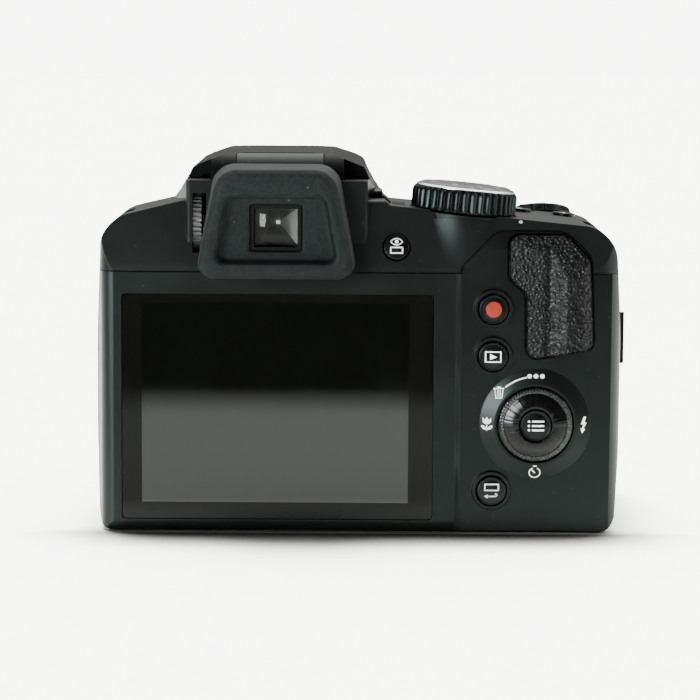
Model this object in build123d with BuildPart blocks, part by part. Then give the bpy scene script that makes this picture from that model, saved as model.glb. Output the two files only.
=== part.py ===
from build123d import *
import os
from math import atan2, cos, radians, sin

# Bridge camera with a fixed zoom lens, a pop-up flash, an electronic viewfinder and a grip.
# Frame: the origin is the mouth of the tripod socket, below the lens axis. +X is the
# photographer's right, +Y is forward along the lens, +Z is up. All sizes are millimetres.

# Body shell
left_side = 42.5            # lens axis to the left side
right_side = 80.1           # lens axis to the right side
rear_face = 30.0            # frame origin back to the display frame
body_front = 8.0
grip_front = 36.5
grip_left = 46.5            # inner side of the grip, beyond the finger gap
wall = 1.8
seam = 0.15                 # gap between casing parts
fit = 0.05                  # radial clearance of a running shaft
loose = 0.25                # clearance around a button
overrun = 2.0               # how far a cutter runs past what it cuts
shoulder_rise = 15.2        # over the seam between the body and the top cover
hump_rise = 26.5
seam_rim = 5.3              # the seam lies this far over the cells and the display glass
rear_depth = 10.0           # depth of the rear cover
lean_lift = 0.6             # the rear of the top cover leans forward above this
lean_depth = 4.84
lean_rise = 15.5
base_corner = 4.5
shoulder_corner = 8.5
side_bow = 250.0
plan_bow = 40.0
step = 0.02                 # keeps the faces of crossing prisms from coinciding
edge_round = 3.0
plan_round = 7.0
grip_round = 13.0
front_outline_shares = (
    (-0.969, 0.0), (-1.006, 0.476), (-0.945, 0.948), (-0.569, 1.0), (-0.424, 1.0185),
    (0.2996, 1.0185), (0.3246, 0.996), (0.970, 0.930), (1.0, 0.450), (0.976, 0.0))
body_plan_shares = (
    (-0.936, -1.0), (-1.009, -0.433), (-0.96, 1.0), (1.0, 1.0), (1.0, -0.5), (0.984, -1.0))
grip_plan_back_share = 0.4
grip_plan_fillet_share = 0.88
slope_back = 3.0            # where the top of the grip starts to fall
slope_back_rise = 14.1
slope_fall = 11.0           # from there to the front of the grip
grip_toe = 1.3              # how far the grip's foot lies behind its brow

# Viewfinder housing and flash hump
hump_set_back = 1.8          # the housing's rear face in front of the display frame
hump_half = 20.8
hump_flare = 27.0
hump_nose = 43.5
hump_nose_half = 13.0
hump_wall = 1.6
brow_share = 0.9            # rounding of the hump's rear brow, as a share of its rise
lid_height = 5.9            # the flash head that lifts off the housing
hump_outline_shares = (
    (-1.0, -0.3), (-0.98, 0.49), (-0.837, 0.686), (-0.77, 0.79), (-0.725, 0.88), (-0.467, 0.99),
    (-0.3, 1.0), (0.3, 1.0), (0.48, 0.99), (0.74, 0.88), (0.78, 0.79), (0.837, 0.686),
    (0.98, 0.49), (1.0, -0.3))

# Flash head and its hinge
hinge_depth = 8.8           # hinge axis in front of the housing's rear face
hinge_drop = 0.4
knuckle_radius = 6.3
knuckle_clearance = 0.4
pin_radius = 1.25
block_left = 9.35           # fixed middle of the hinge, left and right of the lens plane
block_right = 10.55
knuckle_end = 15.2
flash_box_half = 12.0
flash_box_set_back = 5.5    # behind the nose of the housing
flash_box_depth = 14.6
flash_box_height = 6.4
flash_sweep = 0.8           # room that the box needs as it swings
flash_skin = 1.5

# Lens
lens_height = 37.5
lens_cap = 16.9             # how much of the barrel may rise past the cells and the glass
plug_radius = 31.0
plug_rear = 9.0
barrel_radius = 34.5
barrel_front = 68.0
barrel_wall = 1.2
cam_wall = 1.34
tube_wall = 1.6
tube_clearance = 0.1
lens_front = 78.2
front_ring_length = 8.2
front_ring_radius = 33.4
front_glass_radius = 24.6
front_glass_back = 66.0
front_glass_thickness = 6.0
rod_circle = 20.0
rod_radius = 1.0
zoom_group_back = 28.0
focus_group_back = 6.0
group_radius = 21.8
group_thickness = 4.0
zoom_glass_radius = 12.0
focus_glass_radius = 8.0
sensor_side = 13.0
sensor_board_side = 30.0
sensor_board_thickness = 1.2

# Rear display
glass_width = 71.3
glass_height = 51.9
glass_x = 0.35
glass_low = 3.2
glass_thickness = 1.0
glass_inset = 0.2
glass_corner = 1.0
panel_width = 66.0
panel_height = 48.0
panel_thickness = 2.6
bracket_thickness = 0.8
bracket_margin = 1.6

# Control field right of the display
field_left = 41.0
field_depth = 1.4
field_valley = 1.4
field_wall = 3.2
field_tilt = 0.4
button_radius = 3.4
button_rise = 1.5
mound_radius = 4.8
mound_rise = 0.8
flange_rim = 0.7
flange_thickness = 0.9
control_column = 49.7
record_height = 52.0
playback_height = 41.1
display_back_height = 9.9
selector_x = 59.6
selector_z = 25.4
mesa_radius = 12.8
mesa_slope = 3.3
mesa_rise = 1.2
wheel_radius = 8.55
wheel_hole = 8.9
wheel_proud = 2.0
wheel_thickness = 3.2
menu_radius = 3.6
menu_stem = 1.8
menu_head = 1.7
cradle_post = 3.0
cradle_bore = 2.4
cradle_thickness = 0.8
cradle_radius = 7.0
base_radius = 8.3
tilt_gap = 0.5
gimbal_pin = 0.35
gimbal_reach = 0.7
ear_width = 1.8
ear_length = 0.8

# Tab of the rear cover that carries the thumb rest
tab_left = 41.4
tab_width = 30.8
tab_rise = 9.6
tab_corner = 5.0
tab_wall = 6.5
tab_shares = ((0.0, -0.3), (0.03, 0.17), (0.29, 1.0), (0.80, 1.0), (1.0, 0.42), (1.0, -0.3))
pad_left = 53.0
pad_drop = 20.4             # the pad's lower edge under the seam
pad_width = 20.0
pad_height = 29.1
pad_floor = 2.3             # recess floor in front of the display frame plane
pad_corner = 2.6
pad_bulge = 1.7             # how far the pad stands behind the display frame plane
pad_shares = ((0.0, 1.0), (0.67, 1.0), (0.95, 0.80), (1.0, 0.09), (0.21, 0.0), (0.20, 0.53), (0.0, 0.65))
pad_swell_shares = ((-0.05, -0.5), (0.40, 0.05), (0.48, -0.10), (0.66, 0.95), (0.86, 0.80), (1.05, -0.5))

# Viewfinder
eye_drop = 10.3             # the eyepiece under the top of the housing
eyecup_proud = 8.0
eyecup_drop = 2.9
eyecup_height = 24.7
eyecup_top_half = 13.0
eyecup_bottom_half = 18.3
eyecup_spread = 1.0         # growth of the outline from rim to base
eyecup_top_round = 5.5
eyecup_low_round = 3.5
eyecup_rim = 1.2
bowl_top_rim = 5.9
bowl_bottom_rim = 3.5
bowl_top_half = 11.3
bowl_bottom_half = 14.1
bowl_depth = 3.0
bowl_round = 2.0
window_width = 9.9
window_height = 8.7
frame_wall = 0.85
frame_proud = 6.0
eyepiece_set_back = 1.2
eyepiece_thickness = 3.4
eyepiece_play = 0.15
eyepiece_curve = 14.0
finder_half = 8.5
finder_drop = 8.3
finder_rise = 8.2
finder_length = 16.6
finder_wall = 1.0
finder_display_thickness = 1.5
diopter_left = 18.9
diopter_width = 2.5
diopter_radius = 6.6
diopter_depth = 6.7
diopter_lift = 0.6
diopter_shaft = 1.0

# Mode dial
dial_x = 42.95
dial_depth = 14.0           # dial axis in front of the display frame
dial_sink = 0.46
dial_tilt = 5.53            # degrees, right side lower
dial_radius = 12.2
dial_thickness = 5.6
dial_gap = 0.3
dial_cap_radius = 10.9
dial_cap_rise = 1.0
dial_shaft = 2.5
dial_edge = 0.5
boss_radius = 12.0
boss_depth = 7.5
boss_bore = 9.6

# Shutter button group
shutter_x = 63.8
shutter_y = 21.5
collar_radius = 9.0
collar_thickness = 1.0
collar_sleeve = 6.4
sleeve_wall = 0.8
sleeve_depth = 3.4
zoom_ring_radius = 7.1
zoom_ring_top = 3.0
shutter_radius = 5.0
shutter_top = 3.7
shutter_stem = 4.2
lever_reach = 11.5
lever_width = 4.0
lever_rise = 0.8
collar_lever_angle = 248.0
small_button_radius = 2.7
small_button_rise = 0.7
small_button_y = 3.5
burst_x = 57.5
exposure_x = 68.0

# Small parts of the top cover
finder_button_x = 27.4
finder_button_rise = 5.6
finder_button_radius = 3.0
speaker_x = 28.0
speaker_depth = 15.5
speaker_slot_length = 3.0
speaker_slot_width = 0.9
speaker_slot_pitch = 2.2
speaker_slot_count = 5
speaker_radius = 3.4
speaker_shift = 0.8
speaker_thickness = 2.5
af_x = 38.5
af_rise = 5.6
af_radius = 3.0
strap_channel = 3.9
strap_bar = 1.6
strap_wall = 1.4
strap_depth = 12.0
strap_length = 10.0
strap_seat = 0.9
strap_inset = (6.6, 6.2)
strap_rises = (9.7, 7.5)
flash_button_back = 17.0
flash_button_length = 8.0
flash_button_drop = 6.6
flash_button_height = 4.0
flash_button_out = 24.2
flash_button_in = 19.6
flash_button_round = 1.2

# Battery bay
door_left = 50.2
door_back = 18.5
door_front = 29.5
door_axis_inset = 4.5
door_axis_z = 2.6
door_lobe = 2.6
door_lobe_back = 14.0
door_lobe_front = 24.0
door_pin = 0.8
door_pin_length = 1.2
latch_left = 52.6
latch_length = 5.0
latch_travel = 2.0
latch_back = 2.0
latch_front = 9.0
latch_recess = 1.0
latch_stem = 2.0
cell_radius = 7.25
cell_length = 49.5
cell_foot = 5.6
cell_nub_radius = 2.6
cell_nub = 1.0
cell_clearance = 0.1
cell_left = 56.0
cell_right = 69.2
cell_rows = (9.5, 24.5)
cell_stagger = 7.2
box_back = 5.4
box_front = 33.5
box_left = 48.6
box_inset = 2.2
box_foot = 3.1
box_lid = 1.1
contact_thickness = 0.4
contact_width = 7.0

# Boards, card and sockets
boss_left = 36.0
boss_right = 42.0
boss_low = 8.0
boss_drop = 6.4
screw_boss = 2.6
screw_radius = 1.0
screw_head = 2.0
screw_head_thickness = 1.2
chassis_depth = 13.6
chassis_thickness = 1.2
board_thickness = 1.5
board_left = 38.0
board_right = 74.0
board_low = 3.0
board_drop = 3.4
chassis_right = 45.5
control_board_left = 45.6
control_board_right = 74.0
control_board_depth = 6.8
control_board_thickness = 1.2
switch_radius = 2.0
switch_gap = 0.55
slot_left = 46.4
slot_width = 25.4
slot_depth = 4.0
slot_low = 2.0
slot_high = 36.5
slot_skin = 0.6
card_width = 24.0
card_length = 32.0
card_thickness = 2.1
socket_inset = 3.1
hdmi_length = 7.0
hdmi_low = 38.5
hdmi_high = 49.7
hdmi_thickness = 3.2
usb_length = 5.0
usb_low = 28.0
usb_high = 35.6
usb_thickness = 2.6
socket_skin = 0.4
terminal_inset = 0.8
terminal_length = 10.6
terminal_low = 22.5
terminal_high = 50.4
terminal_axis_inset = 1.7
terminal_knuckle = 0.78
terminal_pin = 0.5
terminal_swing = 2.2
terminal_lip_low = 38.5
terminal_lip = 1.0
terminal_lip_depth = 1.4

# Tripod socket, motor and grip skin
socket_radius = 5.0
thread_radius = 3.175
thread_depth = 5.2
socket_height = 5.9
motor_radius = 5.0
motor_x = 33.0
motor_z = 9.6
motor_gap = 2.4
rubber_depth = 0.8
rubber_proud = 0.4
rubber_low = 5.5
rubber_high = 56.0
rubber_back = 15.0
rubber_right = 73.0

# Places that follow from the sizes above
rear_y = -rear_face
field_y = rear_y + field_depth
seam_foot = max(cell_foot + cell_length, glass_low + glass_height, lens_height + barrel_radius - lens_cap)
seam_height = seam_foot + seam_rim
shoulder_height = seam_height + shoulder_rise
overall_height = seam_height + hump_rise
shell_split = rear_face - rear_depth
lean_start = seam_height + lean_lift
lean_slope = lean_depth / lean_rise
lean_angle = atan2(lean_depth, lean_rise)
slope_back_height = seam_height + slope_back_rise
slope_front_height = slope_back_height - slope_fall
slope_drop = slope_fall / (grip_front - slope_back)
hump_rear = rear_face - hump_set_back
flash_seam = overall_height - lid_height
hinge_back = hump_rear - hinge_depth
hinge_height = flash_seam - hinge_drop
flash_box_low = flash_seam - flash_box_height
flash_box_front = hump_nose - flash_box_set_back
flash_box_back = flash_box_front - flash_box_depth
glass_z = glass_low + glass_height / 2
pad_low = seam_height - pad_drop
eye_height = flash_seam - eye_drop
eyecup_rear = rear_face + eyecup_proud
eyecup_top = overall_height - eyecup_drop
eyecup_bottom = eyecup_top - eyecup_height
bowl_top = eyecup_top - bowl_top_rim
bowl_bottom = eyecup_bottom + bowl_bottom_rim
frame_rear = hump_rear + frame_proud
eyepiece_rear = frame_rear - eyepiece_set_back
finder_low = eye_height - finder_drop
finder_high = eye_height + finder_rise
finder_rear = hump_rear - hump_wall - 2 * seam
finder_front = finder_rear - finder_length
diopter_back = hump_rear - diopter_depth
diopter_height = eye_height + diopter_lift
diopter_slot_low = diopter_height - diopter_radius - seam
diopter_slot_high = diopter_height + diopter_radius + seam
dial_back = rear_face - dial_depth
finder_button_z = seam_height + finder_button_rise
speaker_back = rear_face - speaker_depth
af_z = seam_height + af_rise
strap_back = rear_face - strap_depth
strap_front = strap_back - strap_length
strap_left = (strap_inset[0] - left_side, seam_height + strap_rises[0])
strap_right = (right_side - strap_inset[1], seam_height + strap_rises[1])
flash_button_front = flash_button_back - flash_button_length
flash_button_low = flash_seam - flash_button_drop
flash_button_high = flash_button_low + flash_button_height
box_top = cell_foot + cell_length + box_lid
box_right = right_side - box_inset
door_axis_x = right_side - door_axis_inset
boss_high = seam_height - boss_drop
board_high = seam_height - board_drop
chassis_front = rear_face - chassis_depth
control_board_back = rear_face - control_board_depth
terminal_back = shell_split - terminal_inset
terminal_hinge_back = terminal_back - terminal_length
terminal_axis_x = right_side - terminal_axis_inset
socket_right = right_side - socket_inset
motor_back = chassis_front - motor_gap


def at_x(x):
    return Plane.YZ.offset(x)


def at_y(y):
    return Plane.XZ.offset(-y)


def at_z(z):
    return Plane.XY.offset(z)


def spread(shares, left, right, back, front):
    """Points from shares of the sizes on each side of zero."""
    return [(u * (left if u < 0 else right), v * (back if v < 0 else front)) for u, v in shares]


def outline(points, radii, inset=0):
    """A face with rounded corners, drawn in by the inset."""
    with BuildSketch() as face:
        with BuildLine():
            FilletPolyline(*points, radius=radii, close=True)
        make_face()
        if inset:
            offset(amount=-inset)
    return face.sketch


def prism_y(face, start, end):
    with BuildPart() as body:
        with BuildSketch(at_y(end)):
            add(face)
        extrude(amount=end - start)
    return body.part


def prism_z(face, start, end):
    with BuildPart() as body:
        with BuildSketch(at_z(start)):
            add(face)
        extrude(amount=end - start)
    return body.part


def block(x0, x1, y0, y1, z0, z1):
    with BuildPart() as body:
        with BuildSketch(at_z(z0)):
            with Locations(((x0 + x1) / 2, (y0 + y1) / 2)):
                Rectangle(x1 - x0, y1 - y0)
        extrude(amount=z1 - z0)
    return body.part


def rod(plane, radius, start, end, x=0, y=0):
    """A round bar along the normal of the plane, from start to end."""
    with BuildPart() as body:
        with BuildSketch(plane.offset(start)):
            with Locations((x, y)):
                Circle(radius)
        extrude(amount=end - start)
    return body.part


def ring(plane, outer, inner, start, end):
    with BuildPart() as body:
        with BuildSketch(plane.offset(start)):
            Circle(outer)
            Circle(inner, mode=Mode.SUBTRACT)
        extrude(amount=end - start)
    return body.part


def cone(plane, low_radius, high_radius, start, end):
    with BuildPart() as body:
        with BuildSketch(plane.offset(start)):
            Circle(low_radius)
        with BuildSketch(plane.offset(end)):
            Circle(high_radius)
        loft()
    return body.part


def finish(builder, name):
    """Labels a finished piece and writes it."""
    builder.part.label = name
    export_step(builder.part, f"parts/{name}.step")


far_x = left_side + right_side
far_z = overall_height + overrun


def body_form(inset):
    """The body and grip without the hump, drawn in by the inset."""
    corners = (plan_round / 2, plan_bow, plan_round, plan_round, plan_bow, plan_round)
    plan = spread(body_plan_shares, left_side, right_side, rear_face, body_front)
    lean_top = lean_start + lean_rise
    back = rear_y + step
    front = body_front - step
    profile = [(back, -step), (back, lean_start), (back + lean_depth, lean_top), (front, lean_top), (front, -step)]
    with BuildPart() as body:
        with BuildSketch(at_z(-overrun)):
            add(outline(plan, corners, inset))
        extrude(amount=far_z + overrun)
        with BuildSketch(at_x(-far_x)):
            add(outline(profile, (edge_round, plan_round, edge_round / 2, plan_round, edge_round), inset))
        extrude(amount=2 * far_x, mode=Mode.INTERSECT)
    back = -grip_front * grip_plan_back_share
    fillet_x = grip_left * grip_plan_fillet_share
    fillet_y = body_front + grip_left - fillet_x
    grip_plan = [(fillet_x, back), (fillet_x, body_front), (grip_left, fillet_y), (grip_left, grip_front),
                 (right_side, grip_front), (right_side, back)]
    brow = slope_back_height + slope_drop * (slope_back - back)
    grip_profile = [(back - step, -step), (back - step, brow), (grip_front, slope_front_height),
                    (grip_front - grip_toe, -step)]
    with BuildPart() as grip:
        with BuildSketch(at_z(-overrun)):
            add(outline(grip_plan, (0, edge_round / 2, plan_round / 2, grip_round, grip_round, 0), inset))
        extrude(amount=far_z + overrun)
        with BuildSketch(at_x(0)):
            add(outline(grip_profile, (0, 0, plan_round, edge_round), inset))
        extrude(amount=far_x, mode=Mode.INTERSECT)
    corners = (base_corner, side_bow, shoulder_corner, 0, 0, 0, 0, shoulder_corner, side_bow, base_corner)
    front = spread(front_outline_shares, left_side, right_side, 0, shoulder_height)
    with BuildPart() as form:
        add(body.part)
        add(grip.part)
        with BuildSketch(at_y(grip_front + overrun)):
            add(outline(front, corners, inset))
        extrude(amount=grip_front + rear_face + 2 * overrun, mode=Mode.INTERSECT)
    return form.part


def hump_outline(inset):
    rise = overall_height - seam_height
    points = [(x, seam_height + z) for x, z in spread(hump_outline_shares, hump_flare, hump_flare, rise, rise)]
    soft = edge_round / 2
    corners = (0, edge_round, edge_round, soft, soft, edge_round, 0, 0, edge_round, soft, soft, edge_round,
               edge_round, 0)
    return outline(points, corners, inset)


def hump_form(inset):
    """The viewfinder housing with the flash head on it, drawn in by the inset."""
    quarter = hump_rear / 4
    plan = [(-hump_half, -hump_rear), (-hump_half, -hump_rear + quarter), (-hump_flare, 0),
            (-hump_flare, hump_nose / 3), (-hump_nose_half, hump_nose), (hump_nose_half, hump_nose),
            (hump_flare, hump_nose / 3), (hump_flare, 0), (hump_half, -hump_rear + quarter),
            (hump_half, -hump_rear)]
    bend = grip_round
    plan_corners = (edge_round / 3, bend, bend, bend, plan_round, plan_round, bend, bend, bend, edge_round / 3)
    rise = overall_height - flash_seam
    low = seam_height - overrun
    back = step - hump_rear
    profile = [(back, low), (back, flash_seam), (-hinge_back - knuckle_radius, flash_seam),
               (-hinge_back - knuckle_radius, overall_height), (hump_nose / 2, overall_height),
               (hump_nose, overall_height - rise * 3 / 4), (hump_nose - rise / 3, flash_seam - rise),
               (hump_nose - rise / 3, low)]
    with BuildPart() as form:
        with BuildSketch(at_z(low - overrun)):
            add(outline(plan, plan_corners, inset))
        extrude(amount=far_z - low + overrun)
        with BuildSketch(at_x(-far_x)):
            add(outline(profile, (0, 0, 0, rise * brow_share, grip_round, edge_round / 2, edge_round, 0), inset))
        extrude(amount=2 * far_x, mode=Mode.INTERSECT)
        with BuildSketch(at_y(hump_nose + overrun)):
            add(hump_outline(inset))
        extrude(amount=hump_nose + hump_rear + 2 * overrun, mode=Mode.INTERSECT)
    return form.part


def tab_face(grow=0):
    points = [(tab_left + u * tab_width, seam_height - seam + v * tab_rise) for u, v in tab_shares]
    return outline(points, (0, tab_corner, tab_corner, tab_corner, tab_corner, 0), -grow)


def pad_face(grow=0):
    points = [(pad_left + u * pad_width, pad_low + v * pad_height) for u, v in pad_shares]
    return outline(points, (pad_corner,) * len(points), -grow)


lens_plane = Plane(origin=(0, 0, lens_height), x_dir=(1, 0, 0), z_dir=(0, 1, 0))
shutter_z = slope_back_height - slope_drop * (shutter_y - slope_back)
shutter_plane = Plane(origin=(shutter_x, shutter_y, shutter_z), x_dir=(1, 0, 0), z_dir=(0, slope_drop, 1))
lean_y = rear_y + (finder_button_z - lean_start) * lean_slope
finder_button_plane = Plane(origin=(finder_button_x, lean_y, finder_button_z), x_dir=(1, 0, 0),
                            z_dir=(0, -cos(lean_angle), sin(lean_angle)))
hinge_plane = Plane(origin=(0, -hinge_back, hinge_height), x_dir=(0, 1, 0), z_dir=(1, 0, 0))
diopter_plane = Plane(origin=(-diopter_left, -diopter_back, diopter_height), x_dir=(0, 1, 0), z_dir=(1, 0, 0))
door_plane = Plane(origin=(door_axis_x, 0, door_axis_z), x_dir=(1, 0, 0), z_dir=(0, 1, 0))
terminal_plane = Plane(origin=(terminal_axis_x, -terminal_hinge_back, 0), x_dir=(1, 0, 0), z_dir=(0, 0, 1))
selector_plane = Plane(origin=(selector_x, field_y, selector_z), x_dir=(1, 0, 0), z_dir=(0, -1, 0))
plate_points = spread(front_outline_shares, left_side, right_side, 0, shoulder_height)
plate_start = plate_points[6]
plate_end = plate_points[7]
plate_slope = (plate_end[1] - plate_start[1]) / (plate_end[0] - plate_start[0])


def plate_height(x):
    return plate_start[1] + (x - plate_start[0]) * plate_slope


dial_plane = Plane(origin=(dial_x, -dial_back, plate_height(dial_x) - dial_sink), x_dir=(0, 1, 0),
                   z_dir=(sin(radians(dial_tilt)), 0, cos(radians(dial_tilt))))


wheel_low = wheel_proud - wheel_thickness
cradle_high = wheel_low - 2 * seam
cradle_low = cradle_high - cradle_thickness
base_high = cradle_low - tilt_gap
base_low = base_high - cradle_thickness
base_axis = Plane(origin=(selector_x, field_y - (base_low + base_high) / 2, selector_z), x_dir=(0, 1, 0),
                  z_dir=(1, 0, 0))
cradle_axis = Plane(origin=(selector_x, field_y - (cradle_low + cradle_high) / 2, selector_z), x_dir=(1, 0, 0),
                    z_dir=(0, 0, 1))


def field_plane(x, z):
    return Plane(origin=(x, field_y, z), x_dir=(1, 0, 0), z_dir=(0, -1, 0))


def plate_plane(x, y):
    return Plane(origin=(x, y, plate_height(x)), x_dir=(0, 1, 0), z_dir=(-plate_slope, 0, 1))


def push_button(plane, radius, rise, depth):
    """A round button: its cap, and the flange that keeps it behind the wall."""
    with BuildPart() as button:
        add(rod(plane, radius, -depth - seam, rise))
        add(rod(plane, radius + flange_rim, -depth - seam - flange_thickness, -depth - seam))
    return button.part


os.makedirs("parts", exist_ok=True)

body_outer = body_form(0)
body_inner = body_form(wall)
hump_outer = hump_form(0)
hump_inner = hump_form(hump_wall)

lower_half = block(-far_x, far_x, -far_x, far_x, -overrun, seam_height - seam)
upper_half = block(-far_x, far_x, -far_x, far_x, seam_height, far_z)
front_half = block(-far_x, far_x, -shell_split, far_x, -overrun, far_z)
rear_half = block(-far_x, far_x, -far_x, -shell_split - seam, -overrun, far_z)
tab = prism_y(tab_face(), rear_y - overrun, -shell_split - seam)
tab_gap = prism_y(tab_face(seam), rear_y - 2 * overrun, -shell_split + overrun)
door_gap_y = (-door_back - seam, door_front + seam)
door_swing = door_lobe + wall
screw_spots = [(x, z) for x in (-boss_left, boss_right) for z in (boss_low, boss_high)]


def pad_profile(start, end):
    """Side view of the thumb rest between two depths behind the recess floor."""
    bottom = pad_low - 2 * overrun
    top = pad_low + pad_height + 2 * overrun
    shift = (top - lean_start) * lean_slope
    return [(start, bottom), (start, lean_start - overrun), (start + shift, top), (end + shift, top),
            (end, lean_start - overrun / 2), (end, bottom)]


def pad_block(face, start, end):
    with BuildPart() as body:
        with BuildSketch(at_x(0)):
            add(outline(pad_profile(start, end), (0,) * 6))
        extrude(amount=far_x)
        with BuildSketch(at_y(0)):
            add(face)
        extrude(amount=far_x, mode=Mode.INTERSECT)
    return body.part


def hinge_block(radius, left, right):
    """A stretch of the flash hinge with everything round its axis."""
    return rod(hinge_plane, radius, left, right)


# Rear cover: the display frame, the control field and the tab under the thumb rest
with BuildPart() as rear_region:
    add(lower_half)
    add(tab)
    add(rear_half, mode=Mode.INTERSECT)
with BuildPart() as rear_hollow:
    add(body_inner)
    add(block(field_left, far_x, -far_x, field_y + field_wall, -overrun, far_z), mode=Mode.SUBTRACT)
    add(block(field_left, far_x, -far_x, rear_y + tab_wall, lean_start - 2 * overrun, far_z),
        mode=Mode.SUBTRACT)
field_outline = [(field_left, rear_y - overrun), (field_left, rear_y), (field_left + field_valley, field_y),
                 (far_x, field_y + field_tilt), (far_x, rear_y - overrun)]
field_step = prism_z(outline(field_outline, (0, 0, edge_round / 2, 0, 0)), -overrun, seam_height + tab_rise)
round_buttons = [(control_column, record_height), (control_column, playback_height),
                 (control_column, display_back_height)]
with BuildPart() as rear_cover:
    add(body_outer)
    add(rear_region.part, mode=Mode.INTERSECT)
    add(rear_hollow.part, mode=Mode.SUBTRACT)
    add(field_step, mode=Mode.SUBTRACT)
    for x, z in round_buttons:
        add(cone(field_plane(x, z), mound_radius, mound_radius - mound_rise / 2, -mound_rise, mound_rise))
        add(rod(field_plane(x, z), button_radius + loose, -2 * field_wall, overrun), mode=Mode.SUBTRACT)
    add(rod(selector_plane, mesa_radius, -mound_rise, 0))
    add(cone(selector_plane, mesa_radius, mesa_radius - mesa_slope, 0, mesa_rise))
    add(rod(selector_plane, wheel_hole, -2 * field_wall, mesa_rise + overrun), mode=Mode.SUBTRACT)
    pin_end = wheel_hole + gimbal_reach
    add(rod(base_axis, gimbal_pin + fit, -pin_end, pin_end), mode=Mode.SUBTRACT)
    with BuildSketch(at_y(rear_y - overrun)):
        with Locations((glass_x, glass_z)):
            RectangleRounded(glass_width + 2 * seam, glass_height + 2 * seam, glass_corner)
    extrude(amount=-overrun - glass_inset - glass_thickness - seam, mode=Mode.SUBTRACT)
    with BuildSketch(at_y(rear_y - overrun)):
        with Locations((glass_x, glass_z)):
            Rectangle(panel_width + 2 * seam, panel_height + 2 * seam)
    extrude(amount=-overrun - 3 * wall, mode=Mode.SUBTRACT)
    add(pad_block(pad_face(seam), rear_y - 3 * overrun, rear_y + pad_floor), mode=Mode.SUBTRACT)
finish(rear_cover, "rear_cover")

# Front cover: the sides, the base and the front wall with the lens hole
with BuildPart() as door_room:
    add(block(door_left - seam, door_axis_x - door_lobe, *door_gap_y, -overrun, wall + overrun / 2))
    for start, end in ((-far_x, -door_lobe_back - seam), (door_lobe_front + seam, far_x)):
        add(rod(door_plane, door_swing - seam, start, end), mode=Mode.SUBTRACT)
terminal_room = (-terminal_back - seam, -terminal_hinge_back)
skin_block = block(grip_left - 2 * overrun, rubber_right, rubber_back, far_x, rubber_low, rubber_high)
with BuildPart() as skin_room:
    add(skin_block)
    add(body_form(rubber_depth), mode=Mode.SUBTRACT)
with BuildPart() as front_cover:
    add(body_outer)
    add(lower_half, mode=Mode.INTERSECT)
    add(front_half, mode=Mode.INTERSECT)
    add(body_inner, mode=Mode.SUBTRACT)
    for x, z in screw_spots:
        add(rod(Plane(origin=(x, 0, z), x_dir=(1, 0, 0), z_dir=(0, 1, 0)), screw_boss, -chassis_front,
                body_front - wall / 2))
        add(rod(Plane(origin=(x, 0, z), x_dir=(1, 0, 0), z_dir=(0, 1, 0)), screw_radius, -chassis_front,
                body_front - 2 * wall), mode=Mode.SUBTRACT)
    add(rod(at_z(0), socket_radius + wall, 0, socket_height - wall))
    add(rod(at_z(0), socket_radius + fit, -overrun, socket_height + overrun), mode=Mode.SUBTRACT)
    for start, end in ((-door_lobe_back - door_pin_length - wall, -door_lobe_back - seam),
                       (door_lobe_front + seam, door_lobe_front + door_pin_length + wall)):
        add(rod(door_plane, door_lobe, start, end))
    add(body_outer, mode=Mode.INTERSECT)
    add(rod(door_plane, door_pin + fit, -door_lobe_back - door_pin_length - seam,
            door_lobe_front + door_pin_length + seam), mode=Mode.SUBTRACT)
    add(rod(door_plane, door_lobe + loose, -door_lobe_back - seam, door_lobe_front + seam), mode=Mode.SUBTRACT)
    add(door_room.part, mode=Mode.SUBTRACT)
    add(block(door_axis_x - door_lobe - seam, door_axis_x, -door_lobe_back - seam, door_lobe_front + seam,
              -overrun, door_axis_z), mode=Mode.SUBTRACT)
    add(rod(lens_plane, plug_radius + loose, -plug_rear - overrun, body_front + overrun), mode=Mode.SUBTRACT)
    add(block(terminal_axis_x - terminal_knuckle, far_x, *terminal_room, terminal_low - seam,
              terminal_high + seam), mode=Mode.SUBTRACT)
    add(block(terminal_axis_x - 3 * seam, far_x, terminal_room[1] - overrun, terminal_room[1] + terminal_swing,
              terminal_low - seam, terminal_high + seam), mode=Mode.SUBTRACT)
    add(rod(terminal_plane, terminal_knuckle + loose, terminal_low - seam, terminal_high + seam),
        mode=Mode.SUBTRACT)
    add(rod(terminal_plane, terminal_pin + fit, terminal_low - wall, terminal_high + wall), mode=Mode.SUBTRACT)
    add(skin_room.part, mode=Mode.SUBTRACT)
finish(front_cover, "front_cover")

# Top cover: the shoulders, the dial boss, the viewfinder housing and the fixed hinge block
saddle_radius = barrel_radius + loose
flash_room = (flash_box_half + loose, flash_box_back - 2 * loose, flash_box_front + flash_sweep)
with BuildPart() as hump_hollow:
    add(hump_inner)
    add(rod(lens_plane, saddle_radius + hump_wall, body_front - wall, far_x), mode=Mode.SUBTRACT)
    add(block(-far_x, far_x, -far_x, far_x, flash_seam - hump_wall, far_z), mode=Mode.SUBTRACT)
with BuildPart() as housing:
    add(hump_outer)
    add(block(-far_x, far_x, -far_x, far_x, flash_seam, far_z), mode=Mode.SUBTRACT)
with BuildPart() as hinge_pockets:
    add(hinge_block(knuckle_radius + knuckle_clearance, -knuckle_end - seam * 2, -block_left))
    add(hinge_block(knuckle_radius + knuckle_clearance, block_right, knuckle_end + seam * 2))
pocket_low = hinge_height - knuckle_radius - knuckle_clearance - flash_skin / 2
pocket_back = -hinge_back - knuckle_radius - knuckle_clearance - flash_skin / 2
pocket_front = -hinge_back + knuckle_radius + knuckle_clearance + flash_skin / 2
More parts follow.
